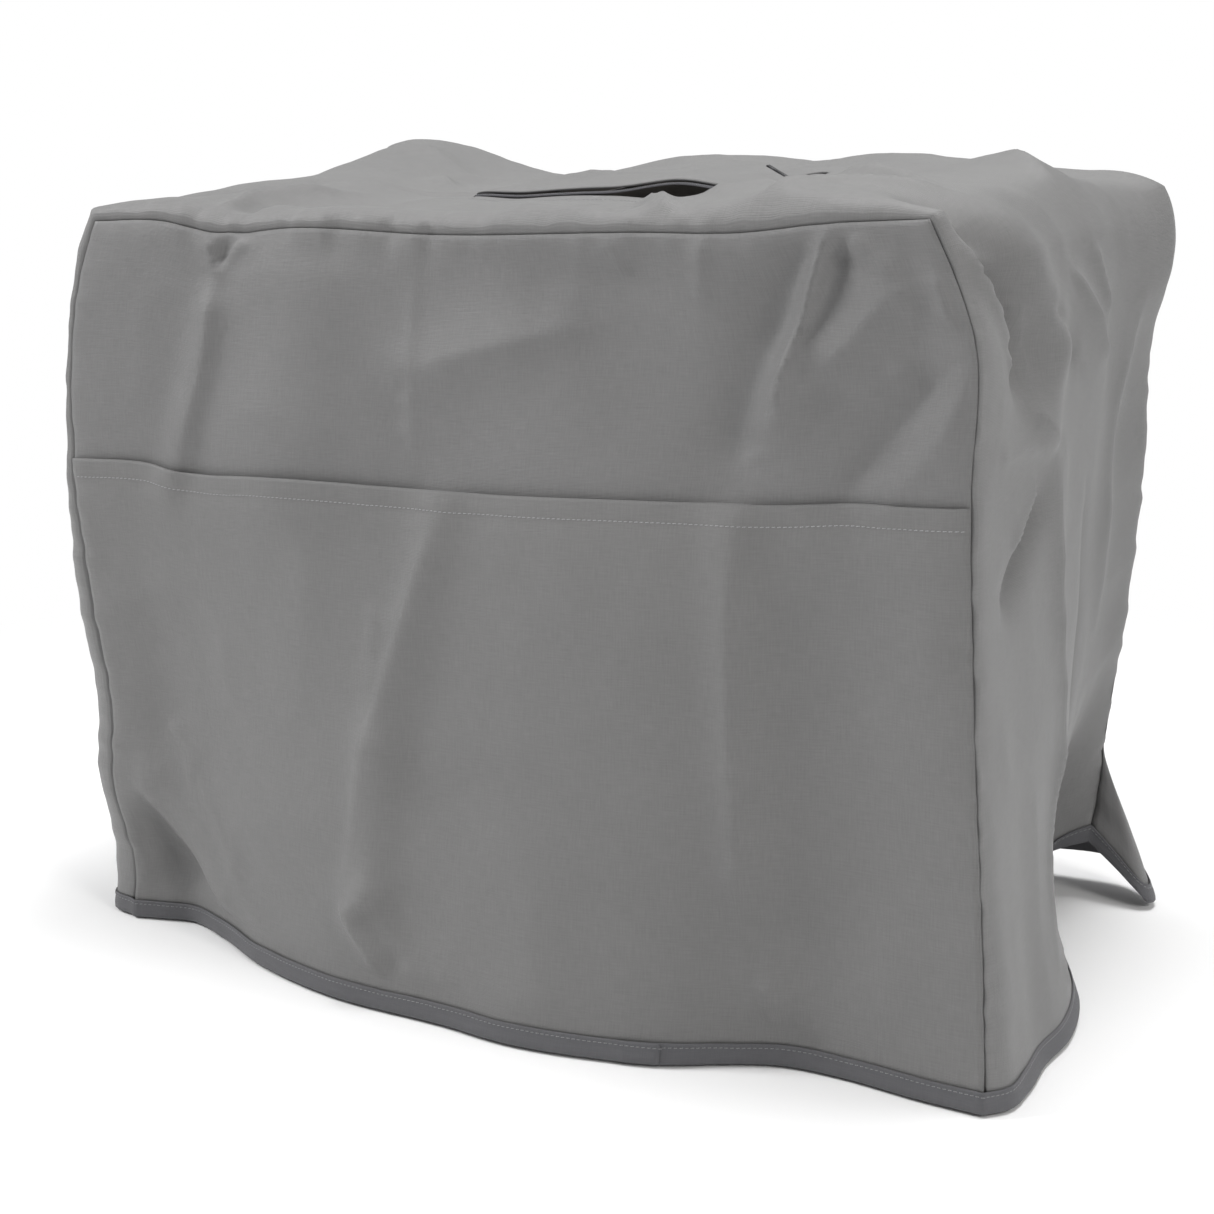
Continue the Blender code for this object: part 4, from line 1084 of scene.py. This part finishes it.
# %% [markdown]
# The slit for the handle is cut along the strip. Rather than cutting a finished mesh, the rows on
# either side of the slit are drawn apart so that they run along its two lips, and the faces between
# them are left out. The lips then get clean edges that a machine could hem.

# %% The slit's lips
SLIT_LEFT = 0.158
SLIT_RIGHT = 0.407
SLIT_Y = 0.177
OPEN_LEFT = 0.260
OPEN_RIGHT = 0.374
OPEN_PEAK = 0.302
OPEN_HALF = 0.0070        # half the width of the opening at its widest
TAPE_SHOWS = 0.0042       # tape seen between the cloth's lip and the teeth
TAPE_UNDER = 0.005
TAPE_DROP = 0.0009
TAPE_END = 0.006
REST_HALF = 0.0022        # half the distance of the two rows beyond the slit


def open_half(x):
    """Half the width of the zip's opening at a place along it."""
    rise = (x - OPEN_LEFT) / (OPEN_PEAK - OPEN_LEFT)
    fall = (OPEN_RIGHT - x) / (OPEN_RIGHT - OPEN_PEAK)
    return GAP + (OPEN_HALF - GAP) * soft_step(np.minimum(rise, fall))


def lip_distance(x):
    """From the slit's middle line to a lip, narrowing to the rows' own distance at the slit's ends."""
    inside = soft_step(np.minimum(x - SLIT_LEFT, SLIT_RIGHT - x) / 0.006 + 0.5)
    return REST_HALF + (open_half(x) + TAPE_SHOWS - REST_HALF) * inside


# %% Rows and columns of the strip
ROWS_EVEN = 88
edge_rows = np.array([0.0, 0.006, 0.014, 0.024, 0.036, 0.050])
even_rows = np.linspace(0.064, 0.936, ROWS_EVEN)
strip_rows = np.concatenate([edge_rows, even_rows, 1 - edge_rows[::-1]])
count_side = len(SIDE_SHARES)


def around(grid):
    """A panel's edge read up the left side, along the top and down the right side."""
    return np.concatenate([grid[:, 0], grid[-1, 1:-1], grid[::-1, -1]])


def rounded(line, passes):
    """A line with its corners cut by averaging along it, its ends kept."""
    smooth = line.copy()
    for _ in range(passes):
        smooth[1:-1] = 0.25 * smooth[:-2] + 0.5 * smooth[1:-1] + 0.25 * smooth[2:]
    return smooth


front_edge, front_edge_out = around(front), around(front_out)
back_edge, back_edge_out = around(back[:, ::-1]), around(back_out[:, ::-1])
count_all = len(front_edge)
slit_share = SLIT_Y / DEPTH
below = int(np.searchsorted(strip_rows, slit_share)) - 1
above = below + 1
print("strip:", len(strip_rows), "rows,", count_all, "columns; lips on rows", below, above)

# %% [markdown]
# Each row of the strip is a straight line of cloth from the front seam to the back seam, pushed out
# by the swell and moved by the hem's waves near the floor.

# %% How the strip turns
EDGE_TURN = 13.0          # columns over which the strip turns from a side to the top
FLAT_TOP = 0.98           # a column lies on the top when it has turned this far
column = np.arange(count_all)
over = soft_step((column - (count_side - 1) + EDGE_TURN) / (2 * EDGE_TURN))
down = soft_step((column - (count_all - count_side) + EDGE_TURN) / (2 * EDGE_TURN))
angle = math.pi - over * math.pi / 2 - down * math.pi / 2
face = np.stack([np.cos(angle), np.zeros(count_all), np.sin(angle)], axis=1)
height = np.concatenate([SIDE_SHARES, np.ones(TOP_STEPS - 1), SIDE_SHARES[::-1]])
on_left = column < count_all / 2
on_top = over * (1 - down)
is_top = on_top > FLAT_TOP
print("columns on the top:", int(is_top.sum()))

# %% [markdown]
# The two rows beside the slit are drawn to its lips. Their neighbours follow them less and less, so
# that the mesh stays even.

# %% Rows drawn to the lips
FOLLOW = 0.045            # how far from the slit the rows still follow it
v = np.repeat(strip_rows[:, None], count_all, axis=1)
middle_x = blend(front_edge[:, 0], back_edge[:, 0], 0.5)
offset = (v - slit_share) * DEPTH
follows = soft_step(1 - np.abs(offset) / FOLLOW) * is_top[None]
own_half = (strip_rows[above] - strip_rows[below]) / 2 * DEPTH
centre = (strip_rows[above] + strip_rows[below]) / 2 * DEPTH
spread = np.where(offset > 0, 1, -1) * (lip_distance(middle_x)[None] - own_half) + (SLIT_Y - centre)
v = v + spread * follows / DEPTH
v[0], v[-1] = 0.0, 1.0
widest = float((v[above] - v[below]).max()) * DEPTH
print("the lips stand up to", round(widest * 1000, 1), "mm apart")

# %% Strip surface
EDGE_PASSES = 125         # how often a seam's line is averaged for the strip's rounder middle
ROUND_FROM_SEAM = 0.13    # share of the depth over which the line gets that round
ROLL_WIDTH, ROLL_TIGHT = 0.060, 0.024
ROLL_TOP, ROLL_RIGHT = 0.013, 0.004
LEFT_WAVE, RIGHT_WAVE = 1.5, 4.0
# How far the left side swells past its seams: share of the height, swell
LEFT_ROLL = [
    (0.00, 0.016),
    (0.20, 0.013),
    (0.33, 0.018),
    (0.47, 0.019),
    (0.62, 0.013),
    (0.78, 0.008),
    (0.92, 0.009),
    (1.00, 0.011),
]
front_round, back_round = rounded(front_edge, EDGE_PASSES), rounded(back_edge, EDGE_PASSES)
share = v[..., None]
to_seam = np.minimum(v, 1 - v)
cut = soft_step(to_seam / ROUND_FROM_SEAM)[..., None]
strip = blend(blend(front_edge, front_round, cut), blend(back_edge, back_round, cut), share)
hem_rise = np.array([0.0, 0.0, EDGE_RISE])
straight_left = blend(front_edge[0], back_edge[0], share)
straight_right = blend(front_edge[-1], back_edge[-1], share)
hem_left = ease(LEFT_HEM, v.ravel()).reshape(strip.shape) - straight_left + hem_rise
hem_right = ease(RIGHT_HEM, v.ravel()).reshape(strip.shape) - straight_right + hem_rise
wave = (1 - height) ** np.where(on_left, LEFT_WAVE, RIGHT_WAVE)
strip = strip + np.where(on_left[None, :, None], hem_left, hem_right) * wave[None, :, None]
roll = ease(LEFT_ROLL, height)[:, 0] * (1 - over) + ROLL_TOP * on_top + ROLL_RIGHT * down
near = np.minimum(to_seam / (ROLL_TIGHT * (1 - over) + ROLL_WIDTH * over), 1.0)
swell = np.sqrt(1 - (1 - near) ** 2)
free = 1 - (1 - height) ** LEFT_WAVE
strip = strip + face * (roll * swell * free)[..., None]
print("strip surface:", strip.shape[:2])


# %% Strip relief
def fold_in_space(folds, places):
    """The summed height of folds that run along lines in space, at a grid of places."""
    total = np.zeros(places.shape[:2])
    for fold in folds:
        first, run = np.array(fold[0:3]), np.array(fold[3:6]) - np.array(fold[0:3])
        half_width, size = fold[6:]
        q = np.clip((places - first) @ run / (run @ run), 0.0, 1.0)
        away = np.linalg.norm(places - first - q[..., None] * run, axis=2)
        total += size * np.exp(-((away / half_width) ** 2))
    return total


ARCH_DIP = 0.020          # how far the right side falls back above the arch of its hem
SLIT_SAG = 0.0064         # how far the cloth sinks where the slit weakens it
TOP_PRESS = 1.4           # the top's creases are pressed harder than the walls'
sx, sy, sz = strip[..., 0], strip[..., 1], strip[..., 2]
seam_away = to_seam * DEPTH
up_strip = (height * SIDE_HEIGHT - FIRST_ROW)[None]
side_hold = soft_step(seam_away / 0.010) * soft_step(up_strip / 0.014)
right_side, left_side, top_side = down[None], (1 - over)[None], on_top[None]
sag = soft_step(sy / 0.06) * soft_step((0.240 - sy) / 0.06)
sag = sag * soft_step((sx - 0.060) / 0.08) * soft_step((0.400 - sx) / 0.07)
calmer = (1 - 0.6 * soft_step((sy - 0.21) / 0.05)) * (1 - 0.75 * sag)
arch = bell(sz - 0.060, 0.048) * soft_step((sy - 0.12) / 0.06) * soft_step((0.350 - sy) / 0.03)
steps = np.linalg.norm(np.diff(strip[len(strip_rows) // 2], axis=0), axis=1)
run_along = np.concatenate([[0.0], np.cumsum(steps)])[None] * np.ones_like(sy)

relief = fold_in_space(STRIP_FOLDS, strip) * soft_step(near) * free
relief += crease_height(RIGHT_CREASES, sy, sz) * side_hold * right_side
relief += crease_height(LEFT_CREASES, sy, sz) * side_hold * left_side
relief += TOP_PRESS * crease_height(TOP_CREASES, sx, sy) * calmer * side_hold * top_side
relief -= SLIT_SAG * sag * top_side * np.where(sy < SLIT_Y, 1.0, 0.6)
relief += crumple(run_along, sy, 71) * side_hold * (1 + (1.2 - 2.0 * sag) * top_side)
relief -= ARCH_DIP * arch * side_hold * right_side
gathers = puckers(run_along, seam_away, 81, 1.2) * soft_step(seam_away / 0.002)
relief += gathers * soft_step(up_strip / 0.012)
print("strip relief to", round(float(abs(relief).max()) * 1000, 1), "mm")

# %% [markdown]
# The lips of the slit are turned under and stitched, so they stand a little proud, with a shallow
# groove along the stitching. The rear lip bows up where the zip is open.

# %% Lips
LIP_RISE = 0.0011
GROOVE_AT = 0.0062        # from a lip's edge to its stitching
GROOVE_DEEP = 0.0006
BOW_AT = 0.300            # where along the slit the lips bow up
REAR_BOW = 0.0036         # how much more the rear lip does
BOTH_BOW = 0.0008
from_lip = np.abs(v * DEPTH - SLIT_Y) - lip_distance(middle_x)[None]
beyond_lip = np.maximum(from_lip, 0)
along_slit = soft_step(np.minimum(middle_x - SLIT_LEFT, SLIT_RIGHT - middle_x) / 0.010 + 0.3)[None]
edge = LIP_RISE * bell(beyond_lip, 0.0065, 4) - GROOVE_DEEP * bell(from_lip - GROOVE_AT, 0.0016)
bow = bell(middle_x - BOW_AT, 0.036)[None] * bell(beyond_lip, 0.020)
rear = (v * DEPTH > SLIT_Y) * 1.0
relief += (edge * is_top[None] + bow * (REAR_BOW * rear + BOTH_BOW)) * along_slit
print("the lips rise to", round(float((edge * along_slit).max()) * 1000, 1), "mm")

# %% [markdown]
# The first and last rows are sewn to the panels, so they lie under the panels' edges. The faces
# between the lips are left out when the mesh is made.

# %% The strip's sheet
strip = strip + face * relief[..., None]
strip[0] = front_edge - front_edge_out * (CLOTH + SEAM_GAP)
strip[-1] = back_edge - back_edge_out * (CLOTH + BACK_SEAM_GAP)
strip_out = way_out(strip)
open_faces = np.zeros((len(strip_rows) - 1, count_all - 1), bool)
inside = (middle_x[:-1] > SLIT_LEFT) & (middle_x[1:] < SLIT_RIGHT) & is_top[:-1]
open_faces[below] = inside
strip_flat = np.stack([run_along, v * DEPTH], axis=2)
side_top_strip = sheet_mesh("strip_cloth", strip, strip_flat, finish["cloth_strip"], open_faces)
thicken(side_top_strip, CLOTH)
claim(side_top_strip, ["side_top_strip"])
print("made", side_top_strip.name, "with a slit", int(inside.sum()), "faces long")

# %% [markdown]
# ## The binding
# A folded tape takes in the raw edge all round: front and pocket together, the sides, the back and
# its flap. It is made as one ribbon whose section is a narrow U. At each place along the hem the
# section stands on the line of the cut edge and leans as the cloth leans. Near the middle of the
# front its end laps over its beginning, as it does on the real hem.

# %% Stations of the hem
def corner_out(panel_out, side_out):
    """The way out at a corner, between two panels' own."""
    return (panel_out + side_out) / (1 + float(panel_out @ side_out))


def panel_stations(grid, normals, strip_row, first_column, last_column, reach):
    """Stations along a panel's hem: cut edge, next row, way out at both, cloth outward and inward."""
    deep = CLOTH + (CLOTH + BACK_SEAM_GAP) + GAP
    found = []
    last = grid.shape[1] - 1
    for c in range(last + 1):
        low, high, inner = normals[0, c], normals[1, c], CLOTH
        if c in (0, last):
            beside = strip_out[strip_row, first_column if c == 0 else last_column]
            low = high = corner_out(low, beside)
            inner = deep
        found.append((grid[0, c], grid[1, c], low, high, reach, inner))
    return found


def strip_stations(rows_of_strip, edge, next_row):
    """Stations along the hem of one side."""
    return [(strip[r, edge], strip[r, next_row], strip_out[r, edge], strip_out[r, next_row], 0.0, CLOTH)
            for r in rows_of_strip]


last_row = len(strip_rows) - 1
stations = (panel_stations(front, front_out, 1, 0, -1, GAP + CLOTH)
            + strip_stations(range(1, last_row), -1, -2)
            + panel_stations(back, back_out, last_row - 1, -1, 0, 0.0)
            + strip_stations(range(last_row - 1, 0, -1), 0, 1))
print("hem stations:", len(stations))

# %% Binding ribbon
JOIN_X = 0.395            # where the binding's two ends meet on the front hem
LAP = 5                   # stations by which the end laps over the beginning
FOLD_RISE, FOLD_IN = 0.0011, 0.0009
INNER_SHORT = 0.001       # the inner edge ends this much lower
WANDER = 0.00035          # how unevenly the tape was folded
BELLY = 0.0002            # how far it swells out, and is pulled in at its stitching
EDGE_OUT = 0.00015
STITCH_DOWN = 0.0026      # from the binding's upper edge down to its stitching
begin = min(range(TOP_STEPS), key=lambda i: abs(stations[i][0][0] - JOIN_X))
loop = stations[begin:] + stations[:begin + 1 + LAP]
wander = np.random.default_rng(91).uniform(-1.0, 1.0, len(loop) // 6 + 3)
wander = np.interp(np.arange(len(loop)) / 6.0, np.arange(len(wander)), wander)
lines, stitch_path, stitch_out = [], [], []
for k, (edge, higher, low, high, outer_reach, inner_reach) in enumerate(loop):
    row = np.linalg.norm(higher - edge)
    upward = (higher - edge) / row
    lap = float(soft_step((k - (len(loop) - 1 - LAP - 3)) / 3.0)) * (TAPE + GAP)
    outer = outer_reach + BINDING_GAP + TAPE + lap
    inner = -(inner_reach + BINDING_GAP + TAPE)
    foot = edge - upward * EDGE_RISE
    top = BINDING_HEIGHT + WANDER * wander[k]
    section = [
        (inner, top - INNER_SHORT),
        (inner, top * 0.6),
        (inner, FOLD_RISE),
        (inner + FOLD_IN * 0.3, FOLD_RISE * 0.3),
        (inner + FOLD_IN, 0.0),
        (outer - FOLD_IN, 0.0),
        (outer - FOLD_IN * 0.3, FOLD_RISE * 0.3),
        (outer, FOLD_RISE),
        (outer + BELLY, top * 0.45),
        (outer - BELLY, top - STITCH_DOWN),
        (outer + EDGE_OUT, top - 0.0010),
        (outer, top),
    ]
    turned = [low + (high - low) * max(b - EDGE_RISE, 0.0) / row for _, b in section]
    lines.append([foot + way * a + upward * b for way, (a, b) in zip(turned, section)])
    stitch_path.append(lines[-1][9])
    stitch_out.append(turned[9])
ribbon = np.array(lines).transpose(1, 0, 2)
along = ribbon[:, 1] - ribbon[:, 0]
ribbon[:, 0] += along / np.linalg.norm(along, axis=1)[:, None] * SEAM_GAP
lengths = np.concatenate([[0.0], np.cumsum(np.linalg.norm(np.diff(ribbon[7], axis=0), axis=1))])
widths = np.concatenate([[0.0], np.cumsum(np.linalg.norm(np.diff(ribbon[:, 30], axis=0), axis=1))])
ribbon_flat = np.stack(np.meshgrid(lengths, widths), axis=2)
hem_binding = sheet_mesh("binding_ribbon", ribbon, ribbon_flat, finish["binding_tape"])
thicken(hem_binding, TAPE)
claim(hem_binding, ["hem_binding"])
print("made", hem_binding.name, "of", round(float(lengths[-1]), 2), "m of tape")

# %% [markdown]
# ## Stitching
# A line of lockstitch is a row of short threads that dip into the cloth at both ends. Each stitch
# here is a small spindle with five sides, laid along its path and pressed into the surface, because
# a painted line would lie flat in a close view. One function sews every line on the cover, and the
# zip's teeth too, which are the same shape laid across.

# %% Sewing
STITCH = 0.0031           # from one stitch to the next


# Each ring of a spindle: place along it, share of its radius, lift in radii
SPINDLE = [
    (-0.50, 0.45, -0.55),
    (-0.26, 1.00, 0.35),
    (0.00, 1.00, 0.55),
    (0.26, 1.00, 0.35),
    (0.50, 0.45, -0.55),
]
SPINDLE_SIDES = 5


def read_path(points, runs, at):
    """A path of points, or of directions, read at lengths along it."""
    return np.stack([np.interp(at, runs, points[:, k]) for k in range(3)], axis=1)


def spindle_faces(first):
    """The faces of one spindle whose points start at a number: its walls and two ends."""
    sides, last = SPINDLE_SIDES, len(SPINDLE) - 1
    faces = []
    for ring in range(last):
        for k in range(sides):
            a, b = first + ring * sides + k, first + ring * sides + (k + 1) % sides
            faces.append((a, b, b + sides, a + sides))
    faces.append(tuple(first + k for k in reversed(range(sides))))
    faces.append(tuple(first + last * sides + k for k in range(sides)))
    return faces


def sew(name, path, outward, thread,
        length=0.0024, radius=0.00026, step=STITCH, across=False, lean=0.10):
    """A row of small spindles along a path, one for each stitch or tooth."""
    path, outward = np.array(path), np.array(outward)
    runs = np.concatenate([[0.0], np.cumsum(np.linalg.norm(np.diff(path, axis=0), axis=1))])
    at = np.arange(step / 2, runs[-1], step)
    place = read_path(path, runs, at)
    way = read_path(outward, runs, at)
    way /= np.linalg.norm(way, axis=1)[:, None]
    run = read_path(path, runs, at + 0.001) - read_path(path, runs, at - 0.001)
    run -= way * (run * way).sum(axis=1)[:, None]
    run /= np.linalg.norm(run, axis=1)[:, None]
    side = np.cross(way, run)
    run, side = run + lean * side, side - lean * run
    if across:
        run, side = side, -run
    verts, faces = [], []
    turns = [2 * math.pi * k / SPINDLE_SIDES for k in range(SPINDLE_SIDES)]
    for p, r, s, w in zip(place, run, side, way):
        faces += spindle_faces(len(verts))
        for where, thick, lift in SPINDLE:
            middle = p + r * where * length + w * lift * radius - ORIGIN
            verts += [middle + (s * math.cos(t) + w * math.sin(t)) * radius * thick for t in turns]
    mesh = bpy.data.meshes.new(name)
    mesh.from_pydata([tuple(p) for p in verts], [], faces)
    mesh.shade_smooth()
    lay_map(mesh, np.array(verts)[:, [0, 1]])
    mesh.materials.append(thread)
    claim(new_object(name, mesh), [])
    print("sewn", name, len(at), "pieces")


# %% Pocket and binding stitches
row_down = int(np.argmin(abs(below_edge[:, 0] - HEM_BAND)))
sew("pocket_stitches", pocket_sewn[row_down, 1:-1], front_out[row_down, 1:-1], pale_thread)
sew("binding_stitches", stitch_path, stitch_out, grey_thread)

# %% Lip stitches
for name, row, sign in (("front_lip_stitches", below, -1), ("back_lip_stitches", above, 1)):
    columns = np.where(inside)[0]
    shift = strip[row + sign * 2, columns] - strip[row, columns]
    reach = GROOVE_AT / np.linalg.norm(shift, axis=1)
    path = strip[row, columns] + shift * reach[:, None]
    sew(name, path, strip_out[row + sign, columns], grey_thread)

# %% [markdown]
# ## The zip
# Two tapes lie under the lips and carry the teeth. From its left end to about the middle the zip is
# closed, then it stands open as far as the slider, which was left near the right end. Each tape
# follows the underside of the cloth, found by looking straight down on the strip.

# %% Zip tapes
SLIT_STEPS = 84
flat_points = (strip - ORIGIN).reshape(-1, 3)
quads = [(r * count_all + c, r * count_all + c + 1, (r + 1) * count_all + c + 1, (r + 1) * count_all + c)
         for r in range(20, len(strip_rows) - 20) for c in range(count_side, count_all - count_side)]
finder = BVHTree.FromPolygons([Vector(p) for p in flat_points], quads)


def lip_under(x, y):
    """The height of the cloth's underside above a place in plan, in the tables' frame."""
    hit = finder.ray_cast(Vector((x - ORIGIN[0], y - ORIGIN[1], 1.0)), Vector((0.0, 0.0, -1.0)))
    return hit[0].z + ORIGIN[2] - CLOTH


TAPE_ROWS = 7
TAPE_WIDE = TAPE_SHOWS + TAPE_UNDER
teeth_lines = {}
xs = np.linspace(SLIT_LEFT - TAPE_END, SLIT_RIGHT + TAPE_END, SLIT_STEPS)
for which, side in (("front", -1), ("back", 1)):
    lip = np.array([lip_under(x, SLIT_Y + side * (float(lip_distance(x)) + 0.001)) for x in xs])
    lines = []
    for reach in np.linspace(0.0, 1.0, TAPE_ROWS):
        y = SLIT_Y + side * (open_half(xs) + TAPE_WIDE * reach)
        z = lip - TAPE_DROP - 0.0006 * (1 - reach) ** 2
        lines.append(np.stack([xs, y, z], axis=1))
    teeth_lines[which] = lines[0] + np.array([0.0, side * 0.0009, 0.0002])
    if side < 0:
        lines.reverse()
    tape_flat = np.stack(np.meshgrid(xs, np.linspace(0.0, TAPE_WIDE, TAPE_ROWS)), axis=2)
    tape = sheet_mesh(f"zip_tape_{which}_cloth", np.array(lines), tape_flat, finish["zip_cloth"])
    thicken(tape, TAPE)
    claim(tape, [f"zip_tape_{which}"])
    print("made", tape.name)

# %% [markdown]
# The teeth are the same spindles, fatter and laid across the tapes' inner edges. Where the closed
# part of the zip ends, five long stitches across both tapes make a bar tack.

# %% Teeth and bar tacks
up_way = np.repeat([[0.0, 0.0, 1.0]], SLIT_STEPS, axis=0)
for which, line in teeth_lines.items():
    sew(f"zip_tape_{which}_teeth", line, up_way, finish["coil_nylon"],
        length=0.0021, radius=0.00048, step=0.0014, across=True, lean=0.0)

TACK_X = 0.251
TACK_HALF = 0.0058        # half the length of the tack, across the slit
TACK_SPREAD = 0.0016      # half of its width, along the slit
tack_z = lip_under(TACK_X, SLIT_Y - 0.006) + CLOTH
for k, shift in enumerate(np.linspace(-TACK_SPREAD, TACK_SPREAD, 5)):
    near_end = (TACK_X + shift, SLIT_Y - TACK_HALF, tack_z + 0.0003)
    far_end = (TACK_X + shift + 0.0005, SLIT_Y + TACK_HALF, tack_z + 0.0006)
    sew(f"bar_tack_{k}", [near_end, far_end], up_way[:2], pale_thread,
        length=0.0036, step=0.0038)

# %% [markdown]
# ## Slider and pull
# The slider and its pull keep their solids' shapes, which are right at this size, and only get the
# painted metal.

# %% Slider finish
for node in ("zip_slider", "zip_pull"):
    metal_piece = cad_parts[node]
    for piece_slot in metal_piece.material_slots:
        piece_slot.material = slider_metal
    print("finish on", node)
